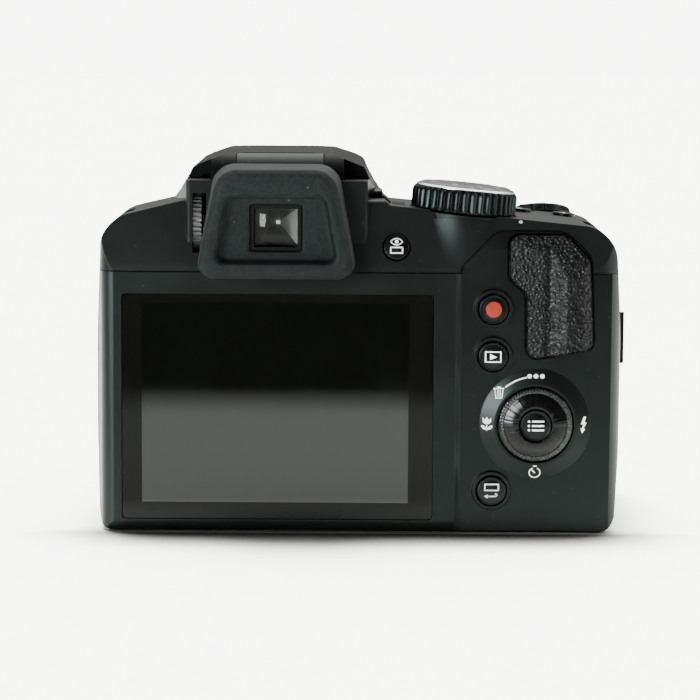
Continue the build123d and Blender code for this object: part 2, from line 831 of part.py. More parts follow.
with BuildPart() as housing_fill:
    add(block(-flash_room[0] - flash_skin, flash_room[0] + flash_skin, flash_room[1] - flash_skin,
              flash_room[2] + flash_skin, flash_box_low - loose - flash_skin, flash_seam))
    add(block(-knuckle_end - 4 * seam, -block_left + 2 * seam, pocket_back, pocket_front, pocket_low, flash_seam))
    add(block(block_right - 2 * seam, knuckle_end + 4 * seam, pocket_back, pocket_front, pocket_low, flash_seam))
    add(housing.part, mode=Mode.INTERSECT)
with BuildPart() as hinge_middle:
    add(hinge_block(knuckle_radius, -block_left, block_right))
    add(block(-block_left, block_right, -hump_rear + hump_wall, -hinge_back + knuckle_radius,
              finder_high + loose, flash_seam))
    add(block(-block_left, block_right, -far_x, far_x, -far_z, finder_high + loose), mode=Mode.SUBTRACT)
strap_spots = (strap_left, strap_right)
with BuildPart() as strap_fill:
    for x, z in strap_spots:
        face = Plane(origin=(x, -strap_back - strap_wall, z), x_dir=(1, 0, 0), z_dir=(0, 1, 0))
        add(rod(face, strap_channel + strap_wall, 0, strap_back - strap_front + 2 * strap_wall))
    add(body_outer, mode=Mode.INTERSECT)
shutter_bore = collar_sleeve + fit
with BuildPart() as top_cover:
    add(body_outer)
    add(rod(dial_plane, boss_radius, -boss_depth, 0))
    add(body_inner, mode=Mode.SUBTRACT)
    add(ring(dial_plane, boss_radius, boss_bore, -boss_depth, -wall))
    add(rod(dial_plane, boss_radius, -wall, 0))
    add(housing.part)
    add(hump_hollow.part, mode=Mode.SUBTRACT)
    add(housing_fill.part)
    add(hinge_middle.part)
    add(strap_fill.part)
    add(upper_half, mode=Mode.INTERSECT)
    add(rod(lens_plane, saddle_radius, body_front - step, far_x), mode=Mode.SUBTRACT)
    add(rod(lens_plane, plug_radius + loose, -plug_rear - overrun, body_front + overrun), mode=Mode.SUBTRACT)
    add(tab_gap, mode=Mode.SUBTRACT)
    add(hinge_pockets.part, mode=Mode.SUBTRACT)
    add(hinge_block(pin_radius + fit, -knuckle_end - overrun, knuckle_end + overrun), mode=Mode.SUBTRACT)
    add(block(-flash_room[0], flash_room[0], flash_room[1], flash_room[2], flash_box_low - loose, far_z),
        mode=Mode.SUBTRACT)
    add(block(-diopter_left - 2 * seam, -diopter_left + diopter_width + 2 * seam, -hump_rear - overrun,
              -hump_rear + 2 * hump_wall, diopter_slot_low, diopter_slot_high), mode=Mode.SUBTRACT)
    add(rod(diopter_plane, diopter_shaft + fit, -hump_wall + fit, overrun), mode=Mode.SUBTRACT)
    with BuildSketch(at_y(-hump_rear - overrun)):
        with Locations((0, eye_height)):
            Rectangle(window_width + 2 * frame_wall + loose, window_height + 2 * frame_wall + loose)
    extrude(amount=-overrun - 2 * hump_wall, mode=Mode.SUBTRACT)
    add(rod(dial_plane, dial_radius + dial_gap, 0, dial_thickness + overrun), mode=Mode.SUBTRACT)
    add(rod(dial_plane, dial_shaft + fit, -boss_depth, overrun), mode=Mode.SUBTRACT)
    add(rod(shutter_plane, shutter_bore, -2 * sleeve_depth, overrun), mode=Mode.SUBTRACT)
    for x in (burst_x, exposure_x):
        add(rod(plate_plane(x, small_button_y), small_button_radius + loose, -2 * wall, overrun),
            mode=Mode.SUBTRACT)
    add(rod(finder_button_plane, finder_button_radius + loose, -2 * wall, overrun), mode=Mode.SUBTRACT)
    with BuildSketch(at_z(shoulder_height - 2 * wall)):
        with Locations((speaker_x, -speaker_back)):
            with GridLocations(speaker_slot_length, speaker_slot_pitch, 1, speaker_slot_count):
                Rectangle(speaker_slot_length, speaker_slot_width)
    extrude(amount=3 * wall, mode=Mode.SUBTRACT)
    add(rod(Plane(origin=(af_x, 0, af_z), x_dir=(1, 0, 0), z_dir=(0, 1, 0)), af_radius + seam,
            body_front - 2 * wall, body_front + overrun), mode=Mode.SUBTRACT)
    for x, z in strap_spots:
        face = Plane(origin=(x, 0, z), x_dir=(1, 0, 0), z_dir=(0, 1, 0))
        add(rod(face, strap_channel, -strap_back, -strap_front), mode=Mode.SUBTRACT)
        add(rod(face, strap_bar + seam, -strap_back - strap_seat, -strap_front + strap_seat),
            mode=Mode.SUBTRACT)
    add(block(hump_half * 3 / 4, flash_button_out + overrun, -flash_button_back - loose,
              -flash_button_front + loose, flash_button_low - loose, flash_button_high + loose),
        mode=Mode.SUBTRACT)
finish(top_cover, "top_cover")

# Battery door with its moulded hinge pins, and the latch that slides in it
with BuildPart() as battery_door:
    add(block(door_left, door_axis_x - door_lobe - seam, -door_back, door_front, -overrun, wall))
    for start, end in ((-far_x, -door_lobe_back), (door_lobe_front, far_x)):
        add(rod(door_plane, door_swing, start, end), mode=Mode.SUBTRACT)
    add(block(door_axis_x - door_lobe - wall, door_axis_x, -door_lobe_back, door_lobe_front, -overrun, wall))
    add(rod(door_plane, door_lobe, -door_lobe_back, door_lobe_front))
    add(body_outer, mode=Mode.INTERSECT)
    add(rod(door_plane, door_pin, -door_lobe_back - door_pin_length, door_lobe_front + door_pin_length))
    add(block(latch_left - seam, latch_left + latch_length + latch_travel + seam, latch_back - seam,
              latch_front + seam, -overrun, latch_recess), mode=Mode.SUBTRACT)
    latch_middle = (latch_back + latch_front) / 2
    add(block(latch_left + latch_stem - seam, latch_left + latch_length + latch_travel - latch_stem + seam,
              latch_middle - latch_stem / 2 - seam, latch_middle + latch_stem / 2 + seam, 0, 2 * wall),
        mode=Mode.SUBTRACT)
finish(battery_door, "battery_door")

with BuildPart() as battery_latch:
    add(block(latch_left, latch_left + latch_length, latch_back, latch_front, seam, latch_recess - seam))
    add(block(latch_left + latch_stem, latch_left + latch_length - latch_stem, latch_middle - latch_stem / 2,
              latch_middle + latch_stem / 2, seam, wall + 2 * seam))
    add(block(latch_left + seam, latch_left + latch_length - seam, latch_back, latch_front, wall + seam,
              wall + 4 * seam))
finish(battery_latch, "battery_latch")

# Battery box with its four cells and the contact strips
cells = [(cell_left, y) for y in cell_rows] + [(cell_right, y - cell_stagger) for y in cell_rows]
with BuildPart() as battery_box:
    add(body_form(wall + loose))
    add(block(box_left, box_right, -box_back, box_front, box_foot, box_top), mode=Mode.INTERSECT)
    with BuildSketch(at_z(0)):
        with Locations(*cells):
            Circle(cell_radius + cell_clearance)
    extrude(amount=far_z, mode=Mode.SUBTRACT)
    add(rod(door_plane, 2 * door_lobe, -far_x, far_x), mode=Mode.SUBTRACT)
finish(battery_box, "battery_box")

with BuildPart() as batteries:
    for place, (x, y) in enumerate(cells):
        upright = place % 2 == 0
        nub = cell_foot + cell_length if upright else cell_foot - cell_nub
        add(rod(at_z(0), cell_radius, cell_foot, cell_foot + cell_length, x, y))
        add(rod(at_z(0), cell_nub_radius, nub, nub + cell_nub, x, y))
finish(batteries, "batteries")

with BuildPart() as battery_contacts:
    for y in cell_rows:
        with BuildSketch(at_z(box_top + seam / 2)):
            with BuildLine() as strip:
                Line((cell_left, y), (cell_right, y - cell_stagger))
            trace(strip.line, line_width=contact_width)
        extrude(amount=contact_thickness)
finish(battery_contacts, "battery_contacts")

# Rubber skins of the grip and the thumb rest
with BuildPart() as grip_rubber:
    add(body_form(-rubber_proud))
    add(block(grip_left - 2 * overrun, rubber_right - seam, rubber_back + seam, far_x, rubber_low + seam,
              rubber_high - seam), mode=Mode.INTERSECT)
    add(body_form(rubber_depth - fit), mode=Mode.SUBTRACT)
finish(grip_rubber, "grip_rubber")

swell = [(pad_left + u * pad_width, rear_y - v * pad_bulge) for u, v in pad_swell_shares]
swell += [(swell[-1][0], rear_y + far_x), (swell[0][0], rear_y + far_x)]
with BuildPart() as thumb_rest_rubber:
    add(pad_block(pad_face(), rear_y - pad_bulge, rear_y + pad_floor - fit))
    with BuildSketch(at_z(0)):
        add(outline(swell, (0, edge_round, edge_round / 2, edge_round / 2, edge_round / 2, 0, 0, 0)))
    extrude(amount=far_z, mode=Mode.INTERSECT)
finish(thumb_rest_rubber, "thumb_rest_rubber")

# Rear display: glass, panel and the bracket behind it
glass_y = rear_y + glass_inset
with BuildPart() as display_window:
    with BuildSketch(at_y(glass_y)):
        with Locations((glass_x, glass_z)):
            RectangleRounded(glass_width, glass_height, glass_corner)
    extrude(amount=-glass_thickness)
finish(display_window, "display_window")

panel_y = glass_y + glass_thickness + seam
with BuildPart() as display_panel:
    with BuildSketch(at_y(panel_y)):
        with Locations((glass_x, glass_z)):
            Rectangle(panel_width, panel_height)
    extrude(amount=-panel_thickness)
finish(display_panel, "display_panel")

bracket_y = panel_y + panel_thickness + seam
with BuildPart() as display_bracket:
    with BuildSketch(at_y(rear_y + wall + seam)):
        with Locations((glass_x, glass_z)):
            Rectangle(panel_width + 2 * seam + 2 * bracket_margin, panel_height + 2 * seam + 2 * bracket_margin)
            Rectangle(panel_width + 2 * seam, panel_height + 2 * seam, mode=Mode.SUBTRACT)
    extrude(amount=rear_y + wall + seam - bracket_y - bracket_thickness)
    with BuildSketch(at_y(bracket_y)):
        with Locations((glass_x, glass_z)):
            Rectangle(panel_width + 2 * seam + bracket_margin, panel_height + 2 * seam + bracket_margin)
    extrude(amount=-bracket_thickness)
finish(display_bracket, "display_bracket")

# Chassis plate and boards, screwed to the front cover's bosses
chassis_y = -chassis_front - seam
with BuildPart() as chassis_plate:
    add(block(-board_left, chassis_right, chassis_y - chassis_thickness, chassis_y, board_low, board_high))
    for x, z in screw_spots:
        add(rod(Plane(origin=(x, 0, z), x_dir=(1, 0, 0), z_dir=(0, 1, 0)), screw_radius + seam, -far_x, 0),
            mode=Mode.SUBTRACT)
finish(chassis_plate, "chassis_plate")

board_y = chassis_y - chassis_thickness - seam
with BuildPart() as main_board:
    add(block(-board_left, board_right, board_y - board_thickness, board_y, board_low, board_high))
    for x, z in screw_spots:
        add(rod(Plane(origin=(x, 0, z), x_dir=(1, 0, 0), z_dir=(0, 1, 0)), screw_radius + seam, -far_x, 0),
            mode=Mode.SUBTRACT)
finish(main_board, "main_board")

screw_y = board_y - board_thickness - seam
with BuildPart() as screws:
    for x, z in screw_spots:
        face = Plane(origin=(x, 0, z), x_dir=(1, 0, 0), z_dir=(0, 1, 0))
        add(rod(face, screw_head, screw_y - screw_head_thickness, screw_y))
        add(rod(face, screw_radius - fit, screw_y, -chassis_front + 2 * wall))
finish(screws, "screws")

flange_end = field_wall + seam + flange_thickness
with BuildPart() as control_board:
    add(block(control_board_left, control_board_right, -control_board_back,
              -control_board_back + control_board_thickness, board_low, board_high))
    for x, z in round_buttons:
        add(rod(field_plane(x, z), switch_radius, field_y + control_board_back - step, -flange_end - switch_gap))
    add(rod(selector_plane, switch_radius, field_y + control_board_back - step, -flange_end - switch_gap))
finish(control_board, "control_board")

# Card slot with its card, and the two sockets behind the side door
slot_y = board_y + seam
with BuildPart() as card_slot:
    add(block(slot_left, slot_left + slot_width, slot_y, slot_y + slot_depth, slot_low, slot_high))
    add(block(slot_left + slot_skin, slot_left + slot_width - slot_skin, slot_y + slot_skin,
              slot_y + slot_depth - slot_skin, slot_low - overrun, slot_high - slot_skin), mode=Mode.SUBTRACT)
finish(card_slot, "card_slot")

card_middle = slot_left + slot_width / 2
card_y = slot_y + slot_skin + seam
with BuildPart() as memory_card:
    add(block(card_middle - card_width / 2, card_middle + card_width / 2, card_y, card_y + card_thickness,
              slot_high - slot_skin - seam - card_length, slot_high - slot_skin - seam))
finish(memory_card, "memory_card")

with BuildPart() as connector_sockets:
    for length, low, high, thickness in ((hdmi_length, hdmi_low, hdmi_high, hdmi_thickness),
                                         (usb_length, usb_low, usb_high, usb_thickness)):
        add(block(socket_right - length, socket_right, slot_y, slot_y + thickness, low, high))
        add(block(socket_right - length + socket_skin, socket_right + overrun, slot_y + socket_skin,
                  slot_y + thickness - socket_skin, low + socket_skin, high - socket_skin), mode=Mode.SUBTRACT)
finish(connector_sockets, "connector_sockets")

# Side door over the sockets, with its pull lip
with BuildPart() as terminal_cover:
    add(block(terminal_axis_x - terminal_knuckle, far_x, -terminal_back, -terminal_hinge_back, terminal_low,
              terminal_high))
    add(rod(terminal_plane, terminal_knuckle, terminal_low, terminal_high))
    add(body_outer, mode=Mode.INTERSECT)
    lip_x = right_side - terminal_lip / 2
    add(block(lip_x - terminal_lip - terminal_knuckle, lip_x + terminal_lip, -terminal_back,
              -terminal_back + terminal_lip_depth, terminal_lip_low, terminal_high))
    add(rod(terminal_plane, terminal_pin, terminal_low - wall + seam, terminal_high + wall - seam))
finish(terminal_cover, "terminal_cover")

# Tripod socket
with BuildPart() as tripod_socket:
    add(rod(at_z(0), socket_radius, 0, socket_height))
    add(rod(at_z(0), thread_radius, -overrun, thread_depth), mode=Mode.SUBTRACT)
finish(tripod_socket, "tripod_socket")

# Viewfinder: rubber eyecup, eyepiece in its frame, display in its tube, dioptre wheel
with BuildPart() as eyecup_room:
    top = overall_height + overrun
    room = [(rear_y - seam, eyecup_bottom - 2 * overrun), (rear_y - seam, lean_start),
            (-hump_rear - seam, lean_start + (rear_face - hump_rear) / lean_slope), (-hump_rear - seam, top),
            (0, top), (0, eyecup_bottom - 2 * overrun)]
    with BuildSketch(at_x(-far_x)):
        add(outline(room, (0,) * 6))
    extrude(amount=2 * far_x)


def trapezoid(top_half, bottom_half, top, bottom, top_round, low_round):
    points = [(-bottom_half, bottom), (-top_half, top), (top_half, top), (bottom_half, bottom)]
    return outline(points, (low_round, top_round, top_round, low_round))


with BuildPart() as eyecup:
    spread_share = eyecup_spread / 2
    with BuildSketch(at_y(-eyecup_rear)):
        add(trapezoid(eyecup_top_half - eyecup_rim, eyecup_bottom_half - eyecup_rim, eyecup_top - eyecup_rim,
                      eyecup_bottom + eyecup_rim, eyecup_top_round - eyecup_rim, eyecup_low_round - eyecup_rim))
    with BuildSketch(at_y(-eyecup_rear + eyecup_rim)):
        add(trapezoid(eyecup_top_half, eyecup_bottom_half, eyecup_top, eyecup_bottom, eyecup_top_round,
                      eyecup_low_round))
    with BuildSketch(at_y(-hump_rear)):
        add(trapezoid(eyecup_top_half + eyecup_spread, eyecup_bottom_half + spread_share,
                      eyecup_top + eyecup_spread, eyecup_bottom - spread_share, eyecup_top_round,
                      eyecup_low_round))
    loft(ruled=True)
    with BuildSketch(at_y(-eyecup_rear)):
        add(trapezoid(bowl_top_half, bowl_bottom_half, bowl_top, bowl_bottom, bowl_round, bowl_round))
    with BuildSketch(at_y(-eyecup_rear + bowl_depth)):
        add(trapezoid(bowl_top_half - spread_share, bowl_bottom_half - spread_share, bowl_top - spread_share,
                      bowl_bottom + spread_share, bowl_round, bowl_round))
    loft(ruled=True, mode=Mode.SUBTRACT)
    with BuildSketch(at_y(-hump_rear)):
        with Locations((0, eye_height)):
            Rectangle(window_width + 2 * frame_wall + loose, window_height + 2 * frame_wall + loose)
    extrude(amount=eyecup_rear, mode=Mode.SUBTRACT)
    add(eyecup_room.part, mode=Mode.SUBTRACT)
finish(eyecup, "eyecup")

with BuildPart() as eyepiece_frame:
    with BuildSketch(at_y(-finder_rear - seam)):
        with Locations((0, eye_height)):
            Rectangle(window_width + 2 * frame_wall, window_height + 2 * frame_wall)
            Rectangle(window_width, window_height, mode=Mode.SUBTRACT)
    extrude(amount=frame_rear - finder_rear - seam)
finish(eyepiece_frame, "eyepiece_frame")

with BuildPart() as eyepiece_lens:
    with BuildSketch(at_y(-eyepiece_rear + eyepiece_thickness)):
        with Locations((0, eye_height)):
            Rectangle(window_width - 2 * eyepiece_play, window_height - 2 * eyepiece_play)
    extrude(amount=eyepiece_thickness)
    with Locations((0, eyepiece_curve - eyepiece_rear, eye_height)):
        Sphere(eyepiece_curve, mode=Mode.INTERSECT)
finish(eyepiece_lens, "eyepiece_lens")

with BuildPart() as viewfinder_tube:
    add(block(-finder_half, finder_half, -finder_rear, -finder_front, finder_low, finder_high))
    add(block(-finder_half + finder_wall, finder_half - finder_wall, -finder_rear - overrun,
              -finder_front - finder_wall, finder_low + finder_wall, finder_high - finder_wall),
        mode=Mode.SUBTRACT)
    add(rod(diopter_plane, diopter_shaft + fit, 0, diopter_left - finder_half + finder_wall + overrun),
        mode=Mode.SUBTRACT)
finish(viewfinder_tube, "viewfinder_tube")

with BuildPart() as viewfinder_display:
    with BuildSketch(at_y(-finder_front - finder_wall - seam)):
        with Locations((0, eye_height)):
            Rectangle(window_width, window_height)
    extrude(amount=finder_display_thickness)
finish(viewfinder_display, "viewfinder_display")

with BuildPart() as diopter_wheel:
    add(rod(diopter_plane, diopter_radius, 0, diopter_width))
    add(rod(diopter_plane, diopter_shaft, -hump_wall / 2, diopter_left - finder_half + finder_wall / 2))
finish(diopter_wheel, "diopter_wheel")

# Pop-up flash: head, tube, window, hinge pin and release button
lid_back = -hinge_back + seam
with BuildPart() as lid:
    add(hump_outer)
    add(block(-far_x, far_x, lid_back, far_x, flash_seam + seam, far_z), mode=Mode.INTERSECT)
with BuildPart() as lid_hollow:
    add(hump_form(flash_skin))
    add(block(-far_x, far_x, lid_back + 2 * knuckle_radius, flash_box_back, flash_seam - overrun,
              overall_height - flash_skin), mode=Mode.INTERSECT)
with BuildPart() as flash_head:
    add(lid.part)
    add(lid_hollow.part, mode=Mode.SUBTRACT)
    add(hinge_block(knuckle_radius + knuckle_clearance, -block_left - seam, block_right + seam),
        mode=Mode.SUBTRACT)
    add(hinge_block(knuckle_radius, -knuckle_end, -block_left - seam))
    add(hinge_block(knuckle_radius, block_right + seam, knuckle_end))
    add(block(-flash_box_half, flash_box_half, flash_box_back, flash_box_front, flash_box_low,
              flash_seam + flash_skin))
    add(block(-flash_box_half + flash_skin, flash_box_half - flash_skin, flash_box_back + flash_skin,
              flash_box_front + overrun, flash_box_low + flash_skin, flash_seam), mode=Mode.SUBTRACT)
    add(hinge_block(pin_radius + fit, -knuckle_end - overrun, knuckle_end + overrun), mode=Mode.SUBTRACT)
    with BuildSketch(at_y(hump_nose + overrun)):
        add(hump_outline(0))
    extrude(amount=far_x, mode=Mode.INTERSECT)
finish(flash_head, "flash_head")

window_back = flash_box_front - flash_skin
with BuildPart() as flash_window:
    add(block(-flash_box_half + flash_skin + seam, flash_box_half - flash_skin - seam, window_back,
              flash_box_front, flash_box_low + flash_skin + seam, flash_seam - seam))
finish(flash_window, "flash_window")

with BuildPart() as flash_tube:
    with BuildSketch(at_x(-flash_box_half + 2 * flash_skin)):
        middle = (flash_box_low + flash_skin + flash_seam) / 2
        half = (flash_seam - flash_box_low - flash_skin) / 2 - seam
        points = [(window_back - seam, middle - half), (window_back - seam, middle + half),
                  (flash_box_back + 2 * flash_skin, middle + half / 2),
                  (flash_box_back + 2 * flash_skin, middle - half / 2)]
        add(outline(points, (0,) * 4))
    extrude(amount=2 * flash_box_half - 4 * flash_skin)
finish(flash_tube, "flash_tube")

with BuildPart() as flash_hinge_pin:
    add(hinge_block(pin_radius, -knuckle_end, knuckle_end))
finish(flash_hinge_pin, "flash_hinge_pin")

with BuildPart() as flash_button:
    middle_z = (flash_button_low + flash_button_high) / 2
    middle_y = -(flash_button_back + flash_button_front) / 2
    with BuildSketch(at_x(flash_button_in - flange_rim)):
        with Locations((middle_y, middle_z)):
            RectangleRounded(flash_button_back - flash_button_front, flash_button_high - flash_button_low,
                             flash_button_round)
    extrude(amount=flash_button_out - flash_button_in + flange_rim)
    add(block(flash_button_in - 2 * flange_rim, flash_button_in - flange_rim, -flash_button_back - flange_rim,
              -flash_button_front + flange_rim, flash_button_low - flange_rim, flash_button_high + flange_rim))
finish(flash_button, "flash_button")

# Mode dial with its shaft
with BuildPart() as mode_dial:
    add(rod(dial_plane, dial_radius, dial_gap, dial_gap + dial_thickness))
    chamfer(mode_dial.edges().filter_by(GeomType.CIRCLE), length=dial_edge)
    add(cone(dial_plane, dial_cap_radius, dial_cap_radius - dial_cap_rise, dial_gap + dial_thickness,
             dial_gap + dial_thickness + dial_cap_rise))
    add(rod(dial_plane, dial_shaft, -boss_depth / 2, dial_gap + step))
    add(rod(dial_plane, dial_shaft + flange_rim, -boss_depth / 2, -wall - seam))
finish(mode_dial, "mode_dial")

# Power switch collar, zoom lever and shutter button on one axis
zoom_sleeve = collar_sleeve - sleeve_wall - fit
with BuildPart() as power_switch:
    add(rod(shutter_plane, collar_radius, seam, collar_thickness))
    add(rod(shutter_plane, collar_sleeve, -sleeve_depth, collar_thickness))
    with BuildSketch(shutter_plane.offset(seam)):
        with PolarLocations((collar_sleeve + lever_reach) / 2, 1, collar_lever_angle):
            RectangleRounded(lever_reach - collar_sleeve, lever_width, lever_rise)
    extrude(amount=collar_thickness + lever_rise - seam)
    add(rod(shutter_plane, collar_sleeve - sleeve_wall, -far_x, far_x), mode=Mode.SUBTRACT)
    add(rod(shutter_plane, zoom_ring_radius + loose, collar_thickness, far_x), mode=Mode.SUBTRACT)
finish(power_switch, "power_switch")

ring_low = collar_thickness + seam
button_low = zoom_ring_top - collar_thickness
with BuildPart() as zoom_lever:
    add(rod(shutter_plane, zoom_ring_radius, ring_low, zoom_ring_top))
    add(rod(shutter_plane, zoom_sleeve, -sleeve_depth, zoom_ring_top))
    with BuildSketch(shutter_plane.offset(ring_low + lever_rise)):
        with Locations((0, (collar_sleeve + lever_reach) / 2)):
            RectangleRounded(lever_width, lever_reach - collar_sleeve, lever_rise)
    extrude(amount=zoom_ring_top - ring_low)
    add(rod(shutter_plane, shutter_radius + loose, button_low - seam, far_x), mode=Mode.SUBTRACT)
    add(rod(shutter_plane, shutter_stem + fit, -far_x, far_x), mode=Mode.SUBTRACT)
finish(zoom_lever, "zoom_lever")

shutter_travel = 1.0
with BuildPart() as shutter_button:
    add(rod(shutter_plane, shutter_radius, button_low + shutter_travel, shutter_top))
    chamfer(shutter_button.edges().filter_by(GeomType.CIRCLE).sort_by(Axis.Z)[-1], length=dial_edge)
    add(rod(shutter_plane, shutter_stem, -sleeve_depth, button_low + shutter_travel))
finish(shutter_button, "shutter_button")

with BuildPart() as burst_button:
    add(push_button(plate_plane(burst_x, small_button_y), small_button_radius, small_button_rise, wall))
finish(burst_button, "burst_button")

with BuildPart() as exposure_button:
    add(push_button(plate_plane(exposure_x, small_button_y), small_button_radius, small_button_rise, wall))
finish(exposure_button, "exposure_button")

# Speaker, focus lamp window and strap bars
with BuildPart() as speaker:
    top = plate_height(speaker_x + speaker_radius) - wall - seam
    with BuildSketch(at_z(top - speaker_thickness)):
        with Locations((speaker_x - speaker_shift, -speaker_back)):
            Circle(speaker_radius)
    extrude(amount=speaker_thickness)
finish(speaker, "speaker")

with BuildPart() as af_lamp_window:
    add(rod(Plane(origin=(af_x, 0, af_z), x_dir=(1, 0, 0), z_dir=(0, 1, 0)), af_radius, body_front - wall,
            body_front + seam))
finish(af_lamp_window, "af_lamp_window")

with BuildPart() as strap_bars:
    for x, z in strap_spots:
        face = Plane(origin=(x, 0, z), x_dir=(1, 0, 0), z_dir=(0, 1, 0))
        add(rod(face, strap_bar, -strap_back - strap_seat, -strap_front + strap_seat))
finish(strap_bars, "strap_bars")

# Rear buttons and the four-way wheel round the menu button
button_names = ("record_button", "playback_button", "display_back_button")
for name, (x, z) in zip(button_names, round_buttons):
    with BuildPart() as round_button:
        add(push_button(field_plane(x, z), button_radius, button_rise, field_wall))
    finish(round_button, name)

with BuildPart() as viewfinder_button:
    add(push_button(finder_button_plane, finder_button_radius, small_button_rise, wall))
finish(viewfinder_button, "viewfinder_button")

head_low = wheel_proud + seam - menu_head
with BuildPart() as menu_button:
    add(rod(selector_plane, menu_radius, head_low, wheel_proud + seam))
    add(rod(selector_plane, menu_stem, -flange_end, head_low))
finish(menu_button, "menu_button")

with BuildPart() as selector_wheel:
    add(rod(selector_plane, wheel_radius, wheel_low, wheel_proud))
    chamfer(selector_wheel.edges().filter_by(GeomType.CIRCLE).sort_by(Axis.Y)[0], length=dial_edge)
    add(rod(selector_plane, menu_radius + loose, head_low - tilt_gap - loose, far_x), mode=Mode.SUBTRACT)
    add(rod(selector_plane, cradle_post + fit, -far_x, far_x), mode=Mode.SUBTRACT)
finish(selector_wheel, "selector_wheel")

ear_start = cradle_radius + 2 * seam
ear_end = ear_start + ear_length
with BuildPart() as selector_cradle:
    add(rod(selector_plane, cradle_radius, cradle_low, cradle_high))
    add(rod(selector_plane, cradle_post, cradle_low, head_low - tilt_gap - 2 * loose))
    for side in (-1, 1):
        add(rod(cradle_axis, gimbal_pin, side * (cradle_radius - wall), side * (ear_end - fit)))
    add(rod(selector_plane, cradle_bore, -far_x, far_x), mode=Mode.SUBTRACT)
finish(selector_cradle, "selector_cradle")

with BuildPart() as selector_base:
    add(ring(selector_plane, base_radius, cradle_bore, base_low, base_high))
    for side in (-1, 1):
        add(rod(base_axis, gimbal_pin, side * (base_radius - wall), side * (wheel_hole + gimbal_reach / 2)))
        with BuildSketch(selector_plane.offset(base_high - step)):
            with Locations((0, side * (ear_start + ear_end) / 2)):
                Rectangle(ear_width, ear_length)
        extrude(amount=cradle_high - base_high)
    add(rod(cradle_axis, gimbal_pin + fit, -far_x, far_x), mode=Mode.SUBTRACT)
finish(selector_base, "selector_base")

# Lens: fixed barrel with its rear cup, cam ring, two sliding tubes, glass and guide rods
barrel_bore = barrel_radius - barrel_wall
cam_outer = barrel_bore - fit
cam_bore = cam_outer - cam_wall
outer_tube = cam_bore - tube_clearance
outer_bore = outer_tube - tube_wall
inner_tube = outer_bore - tube_clearance
inner_bore = inner_tube - tube_wall
mouth = body_front + seam
cup_bore = plug_radius - tube_wall
floor_front = -plug_rear + tube_wall
cam_back = mouth + 2 * seam + wall / 2
cam_front = barrel_front - barrel_wall
cup_axis = Axis((0, 0, lens_height), (0, 1, 0))


def turned(points):
    """A ring or disc about the lens axis from points of radius and depth."""
    with BuildPart() as body:
        with BuildSketch(Plane.XY.offset(lens_height)):
            add(outline(points, (0,) * len(points)))
        revolve(axis=cup_axis)
    return body.part


with BuildPart() as fixed_barrel:
    add(turned([(0, -plug_rear), (plug_radius, -plug_rear), (plug_radius, mouth), (barrel_radius, mouth),
                (barrel_radius, barrel_front), (cam_bore + seam, barrel_front),
                (cam_bore + seam, cam_front + seam), (barrel_bore, cam_front + seam),
                (barrel_bore, cam_back - seam), (cup_bore, cam_back - seam), (cup_bore, floor_front),
                (0, floor_front)]))
    add(block(-sensor_side / 2, sensor_side / 2, -far_x, floor_front + overrun, lens_height - sensor_side / 2,
              lens_height + sensor_side / 2), mode=Mode.SUBTRACT)
finish(fixed_barrel, "fixed_barrel")

with BuildPart() as cam_ring:
    add(ring(lens_plane, cam_outer, cam_bore, cam_back, cam_front))
finish(cam_ring, "cam_ring")

with BuildPart() as zoom_barrel_outer:
    add(ring(lens_plane, outer_tube, outer_bore, cam_back + seam, lens_front - wall / 2))
    add(ring(lens_plane, front_ring_radius, outer_bore, lens_front - front_ring_length, lens_front))
finish(zoom_barrel_outer, "zoom_barrel_outer")

glass_front = front_glass_back + front_glass_thickness
with BuildPart() as zoom_barrel_inner:
    add(turned([(inner_bore, cam_back + 2 * seam), (inner_tube, cam_back + 2 * seam),
                (inner_tube, lens_front - wall / 2), (inner_bore, lens_front - wall / 2),
                (front_glass_radius - wall, glass_front + seam), (front_glass_radius + fit, glass_front + seam),
                (front_glass_radius + fit, front_glass_back), (front_glass_radius - wall, front_glass_back),
                (front_glass_radius - wall, front_glass_back - wall), (inner_bore, front_glass_back - wall)]))
finish(zoom_barrel_inner, "zoom_barrel_inner")


def lens_glass(radius, back, thickness, edge):
    """A biconvex lens whose rim is an edge thick."""
    bulge = (thickness - edge) / 2
    curve = (radius ** 2 + bulge ** 2) / (2 * bulge)
    with BuildPart() as cap_back:
        with Locations((0, back + curve, lens_height)):
            Sphere(curve)
    with BuildPart() as cap_front:
        with Locations((0, back + thickness - curve, lens_height)):
            Sphere(curve)
    with BuildPart() as glass:
        add(rod(lens_plane, radius, back, back + thickness))
        add(cap_back.part, mode=Mode.INTERSECT)
        add(cap_front.part, mode=Mode.INTERSECT)
    return glass.part


with BuildPart() as front_lens:
    add(lens_glass(front_glass_radius, front_glass_back + seam, front_glass_thickness - seam, wall))
finish(front_lens, "front_lens")

rod_front = front_glass_back - 2 * wall - overrun
with BuildPart() as guide_rods:
    for x in (-rod_circle, rod_circle):
        add(rod(lens_plane, rod_radius, floor_front, rod_front, x))
finish(guide_rods, "guide_rods")


def lens_carrier(back, glass_radius):
    """A disc that slides on the guide rods, with its lens in the middle."""
    with BuildPart() as carrier:
        add(ring(lens_plane, group_radius, glass_radius + fit, back, back + group_thickness))
        for x in (-rod_circle, rod_circle):
            add(rod(lens_plane, rod_radius + fit, back - overrun, back + group_thickness + overrun, x),
                mode=Mode.SUBTRACT)
    with BuildPart() as group:
        add(carrier.part)
        add(lens_glass(glass_radius, back, group_thickness, wall))
    return group.part


with BuildPart() as zoom_lens_group:
    add(lens_carrier(zoom_group_back, zoom_glass_radius))
finish(zoom_lens_group, "zoom_lens_group")

with BuildPart() as focus_lens_group:
    add(lens_carrier(focus_group_back, focus_glass_radius))
finish(focus_lens_group, "focus_lens_group")

